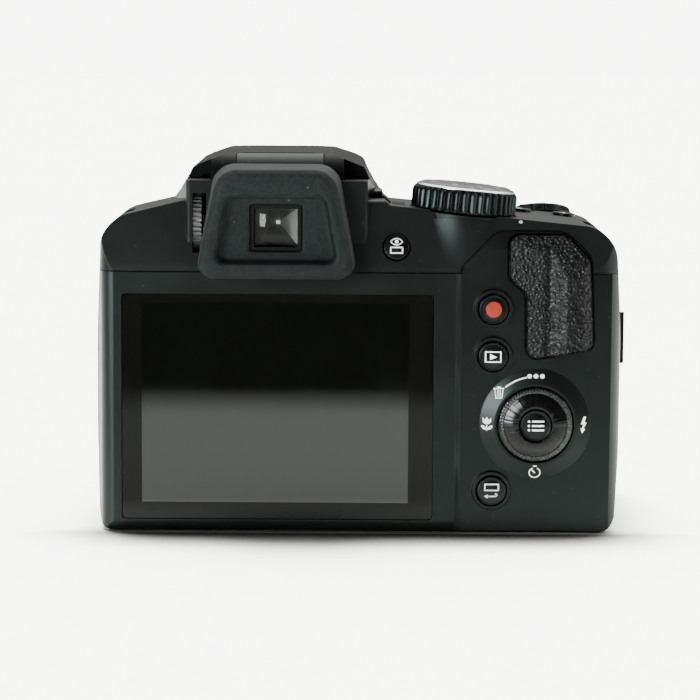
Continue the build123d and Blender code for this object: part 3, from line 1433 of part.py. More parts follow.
sensor_front = -plug_rear - seam
with BuildPart() as image_sensor:
    half = sensor_board_side / 2
    add(block(-half, half, sensor_front - sensor_board_thickness, sensor_front, lens_height - half,
              lens_height + half))
    half = sensor_side / 2 - seam
    add(block(-half, half, sensor_front - step, floor_front - 2 * seam, lens_height - half, lens_height + half))
finish(image_sensor, "image_sensor")

with BuildPart() as zoom_motor:
    face = Plane(origin=(motor_x, 0, motor_z), x_dir=(1, 0, 0), z_dir=(0, 1, 0))
    add(rod(face, motor_radius, -motor_back, body_front - wall - seam))
finish(zoom_motor, "zoom_motor")
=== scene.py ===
import bpy
import bmesh
import math
from mathutils import Matrix, Vector


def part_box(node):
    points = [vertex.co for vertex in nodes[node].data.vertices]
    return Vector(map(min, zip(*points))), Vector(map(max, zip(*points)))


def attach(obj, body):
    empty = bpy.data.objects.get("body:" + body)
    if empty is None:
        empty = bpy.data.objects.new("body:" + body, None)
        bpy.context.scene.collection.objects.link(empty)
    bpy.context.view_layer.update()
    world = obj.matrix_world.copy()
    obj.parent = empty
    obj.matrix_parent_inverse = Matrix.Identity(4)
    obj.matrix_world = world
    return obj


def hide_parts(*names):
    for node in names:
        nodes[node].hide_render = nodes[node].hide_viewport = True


# The frame: metres, +X the photographer's right, +Y forward, +Z up. Sizes of pieces are millimetres.
# The materials, the camera and the stage at the end are in metres.
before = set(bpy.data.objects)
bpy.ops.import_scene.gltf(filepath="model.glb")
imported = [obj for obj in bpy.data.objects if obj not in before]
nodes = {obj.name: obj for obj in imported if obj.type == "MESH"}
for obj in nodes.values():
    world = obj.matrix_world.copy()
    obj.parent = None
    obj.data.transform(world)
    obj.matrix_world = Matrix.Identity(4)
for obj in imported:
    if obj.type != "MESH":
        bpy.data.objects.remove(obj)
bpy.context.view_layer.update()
MM = 0.001
rear = (0, -1, 0)
front = (0, 1, 0)
right = (1, 0, 0)
in_frame = Matrix.Identity(4)

# Node helpers


def new_material(name):
    mat = bpy.data.materials.new(name)
    mat.use_nodes = True
    tree = mat.node_tree
    return mat, tree, tree.nodes["Principled BSDF"]


def link(tree, a, b):
    tree.links.new(a, b)


def times(colour, share):
    return tuple(c * share for c in colour)


def object_coords(tree):
    return tree.nodes.new("ShaderNodeTexCoord").outputs["Object"]


def split(tree, vector):
    """The X, Y and Z of a vector."""
    n = tree.nodes.new("ShaderNodeSeparateXYZ")
    link(tree, vector, n.inputs[0])
    return n.outputs


def maths(tree, operation, a, b):
    n = tree.nodes.new("ShaderNodeMath")
    n.operation = operation
    link(tree, a, n.inputs[0])
    if isinstance(b, float):
        n.inputs[1].default_value = b
    else:
        link(tree, b, n.inputs[1])
    return n


def noise_node(tree, vector, scale, detail=3.0, rough=0.5, out="Fac"):
    n = tree.nodes.new("ShaderNodeTexNoise")
    n.inputs["Scale"].default_value = scale
    n.inputs["Detail"].default_value = detail
    n.inputs["Roughness"].default_value = rough
    link(tree, vector, n.inputs["Vector"])
    return n.outputs[out]


def turn_noise(tree, at, scale, detail):
    """Noise that changes only with the angle round Z, for radial brush marks."""
    parts = split(tree, at)
    n = tree.nodes.new("ShaderNodeTexNoise")
    n.noise_dimensions = "1D"
    n.inputs["Scale"].default_value = scale
    n.inputs["Detail"].default_value = detail
    link(tree, maths(tree, "ARCTAN2", parts[1], parts[0]).outputs[0], n.inputs["W"])
    return n.outputs["Fac"]


def voronoi_node(tree, vector, scale, feature="F1", smooth=0.5):
    n = tree.nodes.new("ShaderNodeTexVoronoi")
    n.feature = feature
    n.inputs["Scale"].default_value = scale
    if feature == "SMOOTH_F1":
        n.inputs["Smoothness"].default_value = smooth
    link(tree, vector, n.inputs["Vector"])
    return n.outputs["Distance"]


def remap(tree, value, low, high, to_low, to_high):
    n = tree.nodes.new("ShaderNodeMapRange")
    n.inputs["From Min"].default_value = low
    n.inputs["From Max"].default_value = high
    n.inputs["To Min"].default_value = to_low
    n.inputs["To Max"].default_value = to_high
    link(tree, value, n.inputs["Value"])
    return n.outputs["Result"]


def mix_colour(tree, fac, a, b):
    n = tree.nodes.new("ShaderNodeMix")
    n.data_type = "RGBA"
    link(tree, fac, n.inputs["Factor"])
    for value, slot in ((a, 6), (b, 7)):
        if isinstance(value, tuple):
            n.inputs[slot].default_value = (*value, 1.0)
        else:
            link(tree, value, n.inputs[slot])
    return n.outputs[2]


def edge_normal(tree, radius):
    n = tree.nodes.new("ShaderNodeBevel")
    n.samples = 4
    n.inputs["Radius"].default_value = radius
    return n.outputs["Normal"]


def bump(tree, height, strength, distance, normal=None):
    n = tree.nodes.new("ShaderNodeBump")
    n.inputs["Strength"].default_value = strength
    n.inputs["Distance"].default_value = distance
    link(tree, height, n.inputs["Height"])
    if normal is not None:
        link(tree, normal, n.inputs["Normal"])
    return n.outputs["Normal"]


# Kinds of material

cloud_scale = 90.0
dust_scale = 330.0
dust_colour = (0.45, 0.45, 0.44)
plastic_tint = (0.84, 1.0, 0.97, 1.0)


def moulded(name, colour, rough, grain=2600.0, depth=0.00003, strength=0.35, edge=0.0003, specks=0.0,
            wear=0.12, coat=0.0, specular=0.5, mottle=0.0):
    """Moulded plastic: fine spark grain, cloudy sheen, softened edges and a few dust specks."""
    mat, tree, shader = new_material(name)
    at = object_coords(tree)
    cloud = noise_node(tree, at, cloud_scale, 4.0)
    fine = noise_node(tree, at, grain, 2.0, 0.6)
    shade = mix_colour(tree, cloud, times(colour, 1 - wear), times(colour, 1 + wear))
    if mottle:
        shade = mix_colour(tree, remap(tree, fine, 0.38, 0.66, 0.0, mottle), shade, times(colour, 3.2))
    if specks:
        dust = voronoi_node(tree, at, dust_scale)
        shade = mix_colour(tree, remap(tree, dust, 0.045, 0.075, specks, 0.0), shade, dust_colour)
    link(tree, shade, shader.inputs["Base Color"])
    link(tree, remap(tree, cloud, 0.3, 0.7, rough - 0.04, rough + 0.04), shader.inputs["Roughness"])
    link(tree, bump(tree, fine, strength, depth, edge_normal(tree, edge)), shader.inputs["Normal"])
    shader.inputs["Coat Weight"].default_value = coat
    shader.inputs["Coat Roughness"].default_value = 0.12
    shader.inputs["Specular IOR Level"].default_value = specular
    shader.inputs["Specular Tint"].default_value = plastic_tint
    return mat


def printed(name, colour, rough=0.5, wear=0.04, specular=0.5):
    """Ink, as a flat layer with next to no grain."""
    return moulded(name, colour, rough, depth=0.000005, wear=wear, specular=specular)


def rubber(name, colour, rough, grain, depth, specks):
    """Soft rubber: coarse pale mottling and a faint sheen."""
    mat = moulded(name, colour, rough, grain, depth, 0.6, 0.0004, specks, 0.18, specular=0.22, mottle=0.8)
    shader = mat.node_tree.nodes["Principled BSDF"]
    shader.inputs["Sheen Weight"].default_value = 0.02
    shader.inputs["Sheen Roughness"].default_value = 0.45
    return mat


def leather(name, colour):
    """Pebbled rubber skin: creased cells with worn, slightly shinier tops that are lighter in colour, and
    painted shade that darkens the creases.
    """
    mat, tree, shader = new_material(name)
    at = object_coords(tree)
    scaled = tree.nodes.new("ShaderNodeVectorMath")
    scaled.operation = "SCALE"
    scaled.inputs["Scale"].default_value = 0.0008
    link(tree, noise_node(tree, at, 500.0, 2.0, out="Color"), scaled.inputs[0])
    warp = tree.nodes.new("ShaderNodeVectorMath")
    warp.operation = "ADD"
    link(tree, at, warp.inputs[0])
    link(tree, scaled.outputs[0], warp.inputs[1])
    cell = voronoi_node(tree, warp.outputs[0], 1050.0, "SMOOTH_F1", 0.3)
    fine = noise_node(tree, at, 3800.0, 2.0)
    tops = remap(tree, cell, 0.15, 0.6, 1.0, 0.0)
    # Colour is darker in the creases as painted shade and lighter on the worn tops.
    link(tree, mix_colour(tree, tops, times(colour, 0.55), times(colour, 1.35)), shader.inputs["Base Color"])
    link(tree, remap(tree, tops, 0.0, 1.0, 0.46, 0.24), shader.inputs["Roughness"])
    creases = bump(tree, tops, 0.55, 0.00012, edge_normal(tree, 0.0003))
    link(tree, bump(tree, fine, 0.3, 0.00002, creases), shader.inputs["Normal"])
    shader.inputs["Specular IOR Level"].default_value = 0.3
    return mat


def metal(name, colour, rough):
    """Bare metal with a cloudy finish and softened edges."""
    mat, tree, shader = new_material(name)
    at = object_coords(tree)
    cloud = noise_node(tree, at, 400.0, 4.0)
    link(tree, mix_colour(tree, cloud, times(colour, 0.86), colour), shader.inputs["Base Color"])
    link(tree, remap(tree, cloud, 0.3, 0.7, rough - 0.04, rough + 0.06), shader.inputs["Roughness"])
    shader.inputs["Metallic"].default_value = 1.0
    fine = noise_node(tree, at, 3000.0)
    link(tree, bump(tree, fine, 0.15, 0.00001, edge_normal(tree, 0.0002)), shader.inputs["Normal"])
    return mat


def clear_glass(name, colour, rough=0.03, ior=1.5, coat=0.0):
    """See-through glass or plastic with faint smears."""
    mat, tree, shader = new_material(name)
    smear = noise_node(tree, object_coords(tree), 150.0, 4.0)
    link(tree, remap(tree, smear, 0.4, 0.8, rough, rough + 0.05), shader.inputs["Roughness"])
    link(tree, mix_colour(tree, smear, colour, times(colour, 0.9)), shader.inputs["Base Color"])
    shader.inputs["Transmission Weight"].default_value = 1.0
    shader.inputs["IOR"].default_value = ior
    shader.inputs["Coat Weight"].default_value = coat
    return mat


def display_material(name, low, high, ior, coat=0.0):
    """Cover glass or film of the rear display, with faint smears."""
    mat, tree, shader = new_material(name)
    smear = noise_node(tree, object_coords(tree), 60.0, 5.0, 0.6)
    link(tree, mix_colour(tree, smear, low, high), shader.inputs["Base Color"])
    link(tree, remap(tree, smear, 0.35, 0.8, 0.03, 0.07), shader.inputs["Roughness"])
    shader.inputs["IOR"].default_value = ior
    shader.inputs["Coat Weight"].default_value = coat
    shader.inputs["Coat Roughness"].default_value = 0.03
    return mat


def coated(name, colour, film):
    """Dark lens glass whose thin coating tints what it reflects."""
    mat, tree, shader = new_material(name)
    smear = noise_node(tree, object_coords(tree), 70.0, 4.0)
    link(tree, mix_colour(tree, smear, colour, times(colour, 1.5)), shader.inputs["Base Color"])
    link(tree, remap(tree, smear, 0.4, 0.8, 0.02, 0.05), shader.inputs["Roughness"])
    shader.inputs["IOR"].default_value = 1.52
    shader.inputs["Thin Film Thickness"].default_value = film
    shader.inputs["Thin Film IOR"].default_value = 1.38
    return mat


def radial_gloss(name, colour, rough, scale, strength):
    """Glossy turned plastic whose radial brush marks throw thin glints and soft sectors."""
    mat, tree, shader = new_material(name)
    line = turn_noise(tree, object_coords(tree), scale, 3.0)
    link(tree, mix_colour(tree, line, times(colour, 0.7), times(colour, 1.3)), shader.inputs["Base Color"])
    link(tree, remap(tree, line, 0.3, 0.7, rough + 0.05, rough - 0.05), shader.inputs["Roughness"])
    link(tree, bump(tree, line, strength, 0.0012), shader.inputs["Normal"])
    shader.inputs["Specular IOR Level"].default_value = 0.4
    return mat


def spun_metal(name, light, dark):
    """A spun disc: brushed rings crossed by soft bright and brown sectors of painted reflection that meet at
    the middle.
    """
    mat, tree, shader = new_material(name)
    at = object_coords(tree)
    # Bright and brown sectors by angle round the middle: painted reflection.
    painted_sectors = remap(tree, turn_noise(tree, at, 3.2, 4.0), 0.36, 0.62, 0.0, 1.0)
    reach = tree.nodes.new("ShaderNodeVectorMath")
    reach.operation = "LENGTH"
    link(tree, at, reach.inputs[0])
    rings = noise_node(tree, reach.outputs["Value"], 9000.0, 2.0)
    shade = mix_colour(tree, painted_sectors, dark, light)
    fine = remap(tree, rings, 0.3, 0.7, 0.0, 0.25)
    link(tree, mix_colour(tree, fine, shade, times(light, 0.7)), shader.inputs["Base Color"])
    link(tree, remap(tree, rings, 0.3, 0.7, 0.28, 0.4), shader.inputs["Roughness"])
    shader.inputs["Metallic"].default_value = 0.5
    shader.inputs["Specular IOR Level"].default_value = 0.3
    return mat


# Materials of the solids

black_body = moulded("body_black", (0.0025, 0.0030, 0.0028), 0.40, specks=0.05, specular=0.24)
black_top = moulded("top_black", (0.0040, 0.0046, 0.0041), 0.41, specks=0.05, specular=0.17)
black_frame = moulded("frame_black", (0.0024, 0.0029, 0.0026), 0.34, specks=0.04, specular=0.27)
black_lid = moulded("lid_black", (0.0019, 0.0022, 0.0020), 0.5, specks=0.05, specular=0.08)
black_button = moulded("button_black", (0.0020, 0.0023, 0.0023), 0.33, 3200.0, 0.00001, specular=0.3)
black_barrel = moulded("barrel_black", (0.0016, 0.0019, 0.0018), 0.33, 3400.0, 0.000012, specular=0.3)
black_rubber = rubber("eyecup_rubber", (0.0020, 0.0025, 0.0024), 0.66, 1700.0, 0.00011, 0.12)
black_leather = leather("pebbled_rubber", (0.0011, 0.0014, 0.0013))
dark_inner = moulded("inner_plastic", (0.016, 0.016, 0.017), 0.55)
eyepiece_matt = moulded("eyepiece_matt", (0.0011, 0.0012, 0.0011), 0.55, depth=0.00001, specular=0.15)
bright_trim = metal("bright_trim", (0.72, 0.72, 0.71), 0.18)
plain_steel = metal("plain_steel", (0.52, 0.52, 0.53), 0.35)
turned_brass = metal("turned_brass", (0.66, 0.58, 0.38), 0.3)
sheet_alloy = metal("sheet_alloy", (0.58, 0.58, 0.59), 0.42)
board_green = moulded("board_green", (0.03, 0.13, 0.06), 0.4)
cell_wrap = moulded("cell_wrap", (0.14, 0.15, 0.17), 0.3, coat=0.4)
coated_glass = clear_glass("coated_glass", (0.86, 0.9, 0.95))
eye_glass = clear_glass("eyepiece_glass", (0.97, 0.98, 0.96), 0.02, 1.06, 0.4)
diffuser = clear_glass("flash_diffuser", (0.9, 0.9, 0.88), 0.25)
display_glass = display_material("display_glass", (0.0022, 0.0024, 0.0020), (0.0028, 0.0031, 0.0026), 1.30)
lamp_tint = moulded("lamp_tint", (0.045, 0.004, 0.003), 0.12, depth=0.000003, specular=0.4)
looks = (
    (black_body, "front_cover battery_door terminal_cover"),
    (black_frame, "rear_cover"),
    (black_top, "top_cover"),
    (black_lid, "flash_head"),
    (black_button, "flash_button power_switch zoom_lever burst_button exposure_button mode_dial"),
    (black_button, "record_button playback_button display_back_button viewfinder_button menu_button"),
    (black_button, "selector_wheel diopter_wheel"),
    (black_barrel, "fixed_barrel zoom_barrel_outer zoom_barrel_inner"),
    (black_rubber, "eyecup"),
    (black_leather, "grip_rubber thumb_rest_rubber"),
    (dark_inner, "battery_latch battery_box display_panel memory_card viewfinder_tube viewfinder_display"),
    (dark_inner, "speaker selector_cradle selector_base cam_ring image_sensor"),
    (eyepiece_matt, "eyepiece_frame"),
    (bright_trim, "flash_tube shutter_button strap_bars"),
    (plain_steel, "battery_contacts screws card_slot connector_sockets flash_hinge_pin guide_rods"),
    (turned_brass, "tripod_socket"),
    (sheet_alloy, "display_bracket chassis_plate zoom_motor"),
    (board_green, "main_board control_board"),
    (cell_wrap, "batteries"),
    (coated_glass, "front_lens zoom_lens_group focus_lens_group"),
    (eye_glass, "eyepiece_lens"),
    (diffuser, "flash_window"),
    (display_glass, "display_window"),
    (lamp_tint, "af_lamp_window"),
)
for mat, names in looks:
    for name in names.split():
        materials = nodes[name].data.materials
        materials.clear()
        materials.append(mat)

# Building pieces


def frame_at(origin, normal, across):
    """A matrix whose Z is the normal and whose X lies nearest to across."""
    z = Vector(normal).normalized()
    x = Vector(across)
    x = (x - z * x.dot(z)).normalized()
    m = Matrix((x, z.cross(x), z)).transposed().to_4x4()
    m.translation = Vector(origin) * MM
    return m


def change_mesh(mesh, change):
    """Runs a change on the mesh as a bmesh."""
    bm = bmesh.new()
    bm.from_mesh(mesh)
    change(bm)
    bm.to_mesh(mesh)
    bm.free()


def face_out(bm):
    bmesh.ops.recalc_face_normals(bm, faces=bm.faces)


def piece(name, verts, faces, mat, body, matrix, smooth=True, node=None):
    """A mesh piece from points in millimetres, in the frame given by the matrix."""
    mesh = bpy.data.meshes.new(name)
    mesh.from_pydata([tuple(c * MM for c in v) for v in verts], [], faces)
    change_mesh(mesh, face_out)
    mesh.materials.append(mat)
    obj = bpy.data.objects.new(name, mesh)
    bpy.context.scene.collection.objects.link(obj)
    obj.matrix_world = matrix
    if smooth:
        mesh.polygons.foreach_set("use_smooth", [True] * len(mesh.polygons))
        crease = obj.modifiers.new("crease", "EDGE_SPLIT")
        crease.split_angle = math.radians(38)
    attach(obj, body)
    if node:
        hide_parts(node)
    return obj


def lathe(name, profile, matrix, mat, body, steps=96, wave=None, node=None, arc=(0.0, 360.0)):
    """Turned form. Each profile row is (radius, height) or (radius, height, share of the wave)."""
    closed = arc[1] - arc[0] >= 359.9
    count = steps if closed else steps + 1
    verts = []
    for k in range(count):
        t = math.radians(arc[0] + (arc[1] - arc[0]) * k / steps)
        push = wave(t) if wave else (0.0, 0.0)
        for row in profile:
            share = row[2] if len(row) > 2 else 0.0
            r = row[0] + push[0] * share
            verts.append((r * math.cos(t), r * math.sin(t), row[1] + push[1] * share))
    n = len(profile)
    faces = []
    for k in range(steps):
        a = k * n
        b = ((k + 1) % count) * n
        for i in range(n - 1):
            quad = [a + i, b + i, b + i + 1, a + i + 1]
            if profile[i][0] < 1e-6:
                quad = [a, b + 1, a + 1]
            elif profile[i + 1][0] < 1e-6:
                quad = [a + i, b + i, a + i + 1]
            faces.append(quad)
    obj = piece(name, verts, faces, mat, body, matrix, True, node)

    def join_middle(bm):
        bmesh.ops.remove_doubles(bm, verts=bm.verts, dist=1e-7)
        face_out(bm)

    change_mesh(obj.data, join_middle)
    return obj


def ridges(count, depth, width, lift=0.0):
    """Narrow ridges with flat flutes between them."""
    def wave(t):
        phase = (t * count / (2 * math.pi)) % 1.0
        off = abs(phase - 0.5) * 2 - (1 - width)
        high = min(1.0, max(0.0, off / (width * 0.6)))
        return -depth * (1 - high), -lift * (1 - high)
    return wave


def scallops(count, depth):
    """Hollow flutes that meet in thin ribs."""
    def wave(t):
        phase = (t * count / (2 * math.pi)) % 1.0
        return -depth * math.sin(math.pi * phase) ** 0.8, 0.0
    return wave


def strip_faces(count):
    """The quads of a strip whose points come in pairs."""
    return [[2 * k, 2 * k + 1, 2 * k + 3, 2 * k + 2] for k in range(count)]


def ellipse(cx, cz, rx, rz, turn=0.0, steps=20):
    c, s = math.cos(math.radians(turn)), math.sin(math.radians(turn))
    points = []
    for k in range(steps):
        t = 2 * math.pi * k / steps
        x, z = rx * math.cos(t), rz * math.sin(t)
        points.append((cx + x * c - z * s, cz + x * s + z * c))
    return points


def arc_points(cx, cz, r, start, end, steps):
    angles = [math.radians(start + (end - start) * k / steps) for k in range(steps + 1)]
    return [(cx + r * math.cos(t), cz + r * math.sin(t)) for t in angles]


def stroke(points, width, closed=False):
    """Quads along a line, as separate small outlines that overlap at the bends."""
    shapes = []
    ends = points[1:] + points[:1] if closed else points[1:]
    for (x0, z0), (x1, z1) in zip(points, ends):
        dx, dz = x1 - x0, z1 - z0
        length = math.hypot(dx, dz)
        nx, nz = -dz / length * width / 2, dx / length * width / 2
        ex, ez = dx / length * width * 0.3, dz / length * width * 0.3
        shapes.append([(x0 + nx - ex, z0 + nz - ez), (x0 - nx - ex, z0 - nz - ez),
                       (x1 - nx + ex, z1 - nz + ez), (x1 + nx + ex, z1 + nz + ez)])
    return shapes


def print_on(name, shapes, matrix, mat, body, thick, sink, fall=None):
    """Printed figures: thin raised outlines on the plane of the matrix, bent by its fall if one is given."""
    verts, faces = [], []
    for shape in shapes:
        a = len(verts)
        n = len(shape)
        verts += [(x, z, thick) for x, z in shape] + [(x, z, -sink) for x, z in shape]
        faces.append(list(range(a, a + n)))
        faces.append([a + n + k for k in reversed(range(n))])
        faces += [[a + k, a + (k + 1) % n, a + n + (k + 1) % n, a + n + k] for k in range(n)]
    obj = piece(name, verts, faces, mat, body, matrix, False)

    def bend(bm):
        bmesh.ops.triangulate(bm, faces=bm.faces)
        bmesh.ops.subdivide_edges(bm, edges=bm.edges, cuts=4, use_grid_fill=True)
        for v in bm.verts:
            v.co.z += fall(v.co.x / MM, v.co.y / MM) * MM

    if fall:
        change_mesh(obj.data, bend)


# Signs, all of them plain figures drawn from lines and arcs

flower = [[(-1.0, 1.55), (-1.0, 0.55), (-0.55, 0.1), (0.55, 0.1), (1.0, 0.55), (1.0, 1.55), (0.5, 1.0),
           (0.0, 1.7), (-0.5, 1.0)]]
flower += [ellipse(-0.75, -0.75, 0.72, 0.34, -38), ellipse(0.75, -0.75, 0.72, 0.34, 38)]
flower += stroke([(0.0, 0.2), (0.0, -1.45)], 0.24)
bolt = [[(0.15, 1.9), (0.75, 1.9), (0.25, 0.55), (0.85, 0.55), (0.05, -0.95), (0.55, -0.95), (-0.25, -1.95),
         (-0.65, -0.75), (-0.28, -0.85), (0.05, 0.15), (-0.6, 0.15)]]
timer = stroke(arc_points(0, -0.1, 1.25, 118, 422, 26), 0.30)
timer += stroke([(0.0, -0.1), (-0.75, 0.75)], 0.30)
timer += stroke([(-0.35, 1.62), (0.35, 1.62)], 0.26)
waste_bin = stroke([(-0.95, 0.75), (-0.7, -1.25), (0.7, -1.25), (0.95, 0.75)], 0.24)
waste_bin += stroke([(-1.2, 0.95), (1.2, 0.95)], 0.28)
waste_bin += stroke([(-0.35, 1.3), (0.35, 1.3)], 0.26)
for step in (-0.35, 0.0, 0.35):
    waste_bin += stroke([(step, 0.6), (step * 0.8, -1.0)], 0.16)
dots = [ellipse(x, 0.0, 0.52, 0.52) for x in (-1.45, 0.0, 1.45)]
bars = []
for z in (1.0, 0.0, -1.0):
    bars += stroke([(-0.75, z), (1.75, z)], 0.42)
    bars.append(ellipse(-1.6, z, 0.27, 0.27))
play = [[(-0.75, 0.72), (0.95, 0.0), (-0.75, -0.72)]]
play += stroke([(-1.75, 1.15), (1.75, 1.15), (1.75, -1.15), (-1.75, -1.15)], 0.30, True)
screen_back = stroke([(-1.55, 1.65), (1.55, 1.65), (1.55, 0.25), (-1.55, 0.25)], 0.30, True)
screen_back += stroke([(-1.1, -1.15)] + arc_points(0.9, -0.85, 0.3, -90, 90, 6), 0.30)
screen_back += [[(-1.75, -1.15), (-0.85, -0.65), (-0.85, -1.65)]]
eye_screen = stroke(arc_points(0, 0.35, 1.55, 32, 148, 12), 0.26)
eye_screen += stroke(arc_points(0, 1.95, 1.55, 212, 328, 12), 0.26)
eye_screen += [ellipse(0, 1.15, 0.42, 0.42)]
eye_screen += stroke([(-1.35, -0.2), (1.35, -0.2), (1.35, -1.5), (-1.35, -1.5)], 0.28, True)
record_dot = [ellipse(0, 0, 1.85, 1.85, 0, 40)]
minus = stroke([(-1.0, 0.0), (1.0, 0.0)], 0.3)
plus = minus + stroke([(0.0, -1.0), (0.0, 1.0)], 0.3)
two_lines = minus + stroke([(-1.0, 0.8), (1.0, 0.8)], 0.3)
white_print = printed("white_print", (0.97, 0.98, 0.96), wear=0.03)
red_print = printed("red_print", (0.20, 0.012, 0.004), wear=0.06, specular=0.15)

# Places on the rear face, which is upright to the bend and then leans in, and on the ring of the wheel

rear_plane, bend_height = 30.0, 61.0
lean_run, lean_rise = 4.84, 15.5
control_floor = 28.6
wheel_x, wheel_z = 59.6, 25.4
ring_radius, ring_run, ring_rise = 12.8, 3.3, 1.2


def rear_depth(z):
    """How far the rear face stands behind the origin at a height."""
    return rear_plane - max(z - bend_height, 0.0) * lean_run / lean_rise


def ring_point(t, radius, lift=0.0):
    """A point on the sloping ring round the four-way wheel, at an angle and a radius."""
    depth = control_floor + ring_rise * (ring_radius - radius) / ring_run + lift
    return wheel_x + radius * math.cos(t), -depth, wheel_z + radius * math.sin(t)


def ring_frame(t, radius):
    """A place on that ring, facing out along its slope."""
    slope = math.atan2(ring_rise, ring_run)
    normal = (math.sin(slope) * math.cos(t), -math.cos(slope), math.sin(slope) * math.sin(t))
    return frame_at(ring_point(t, radius), normal, right)


for name, shapes, angle, radius in (("flower_sign", flower, 180, 11.15), ("flash_sign", bolt, 0, 11.0),
                                    ("timer_sign", timer, 270, 11.1), ("bin_sign", waste_bin, 139, 11.2),
                                    ("function_sign", dots, 90, 11.2)):
    print_on(name, shapes, ring_frame(math.radians(angle), radius), white_print, "body", 0.05, 0.12)
arc_start, arc_sweep, arc_steps, arc_radii, arc_lift = 129, 28, 20, (10.95, 11.25), 0.04
arc_angles = [math.radians(arc_start - arc_sweep * k / arc_steps) for k in range(arc_steps + 1)]
piece("sign_arc", [ring_point(t, r, arc_lift) for t in arc_angles for r in arc_radii], strip_faces(arc_steps),
      white_print, "body", in_frame, False)

# Rear push buttons: domed caps with their signs

black_cap = moulded("cap_black", (0.0016, 0.0019, 0.0018), 0.28, 3600.0, 0.000006, coat=0.06, specular=0.3)
cap_edge = 0.5


def domed_cap(node, matrix, radius, rise, dome, low=-2.6):
    """A push button's cap with a rounded edge and a domed face. It gives the height of the face's middle."""
    rows = [(radius, low), (radius, rise - 0.62), (radius - 0.06, rise - 0.36), (radius - 0.24, rise - 0.16)]
    for k in range(7):
        share = 1 - k / 6
        height = rise - 0.06 + dome * (1 - share * share) - dome * 0.6
        rows.append(((radius - cap_edge) * share, height))
    lathe(node + "_cap", rows, matrix, black_cap, node, 72, None, node)
    return height


def cap_sign(name, shapes, matrix, height, ink, node, radius, dome):
    """A sign that follows the face of a domed cap."""
    face = matrix @ Matrix.Translation((0, 0, height * MM))
    reach = radius - cap_edge
    print_on(name, shapes, face, ink, node, 0.03, 0.05, lambda x, z: -dome * (x * x + z * z) / reach ** 2)


round_radius, round_rise, round_dome, round_x, cap_inset = 3.4, 1.72, 0.28, 49.7, 0.18
for name, z, shapes, ink in (("record", 52.0, record_dot, red_print), ("playback", 41.1, play, white_print),
                             ("display_back", 9.9, screen_back, white_print)):
    node = name + "_button"
    where = frame_at((round_x, cap_inset - control_floor, z), rear, right)
    top = domed_cap(node, where, round_radius, round_rise, round_dome)
    cap_sign(name + "_sign", shapes, where, top, ink, node, round_radius, round_dome)
finder_x, finder_z, finder_radius, finder_rise, finder_dome = 27.4, 66.0, 3.0, 0.8, 0.2
lean = math.atan2(lean_run, lean_rise)
finder_out = (0, -math.cos(lean), math.sin(lean))
finder_face = frame_at((finder_x, -rear_depth(finder_z), finder_z), finder_out, right)
top = domed_cap("viewfinder_button", finder_face, finder_radius, finder_rise, finder_dome)
cap_sign("viewfinder_sign", eye_screen, finder_face, top, white_print, "viewfinder_button", finder_radius,
         finder_dome)

# Display film under the cover glass

film_look = display_material("display_film", (0.0010, 0.0013, 0.0008), (0.0015, 0.0019, 0.0012), 1.64, 0.32)
film_depth, film_left, film_right, film_low, film_high = 29.83, -30.8, 30.4, 7.0, 53.1
corners = ((film_left, film_low), (film_right, film_low), (film_right, film_high), (film_left, film_high))
piece("display_film_sheet", [(x, -film_depth, z) for x, z in corners], [[0, 1, 2, 3]], film_look, "body",
      in_frame, False)

# Four-way wheel: dished face, ring of teeth, menu button in the middle

wheel_face = frame_at((wheel_x, -control_floor, wheel_z), rear, right)
wheel_gloss = radial_gloss("wheel_gloss", (0.0013, 0.0015, 0.0014), 0.20, 2.2, 0.28)
rows = [(4.0, -1.15), (8.4, -1.15), (8.5, -1.0), (8.5, 1.1), (8.3, 1.3), (7.3, 1.5), (6.95, 1.58),
        (6.75, 1.7)]
for k in range(9):
    share = k / 8
    rows.append((6.6 - 2.5 * share, 1.78 + 0.62 * math.sin(share * math.pi / 2) * 0.9))
rows += [(3.9, 2.28), (3.85, 2.1), (3.85, 0.2), (4.0, -1.15)]
lathe("selector_wheel_face", rows, wheel_face, wheel_gloss, "selector_wheel", 160, None, "selector_wheel")
# The teeth are coloured much lighter than the glossy face of the same wheel, as painted highlight.
teeth_painted_highlight = moulded("wheel_teeth", (0.030, 0.031, 0.030), 0.2, depth=0.000004, wear=0.3)
rows = [(8.52, 0.9), (8.52, 1.15, 0.6), (8.3, 1.55, 1.0), (7.95, 1.82, 1.0), (7.6, 1.95, 1.0),
        (7.4, 1.85, 0.5), (7.3, 1.4)]
teeth = ridges(72, 0.0, 0.55, 0.38)
lathe("selector_wheel_teeth", rows, wheel_face, teeth_painted_highlight, "selector_wheel", 576, teeth)
menu_radius, menu_rise, menu_dome, menu_low, menu_print = 3.6, 2.75, 0.34, 1.05, 2.83
domed_cap("menu_button", wheel_face, menu_radius, menu_rise, menu_dome, menu_low)
cap_sign("menu_sign", bars, wheel_face, menu_print, white_print, "menu_button", menu_radius, menu_dome)

# Mode dial: ribbed rim, bright ring, spun cap with plain numbers

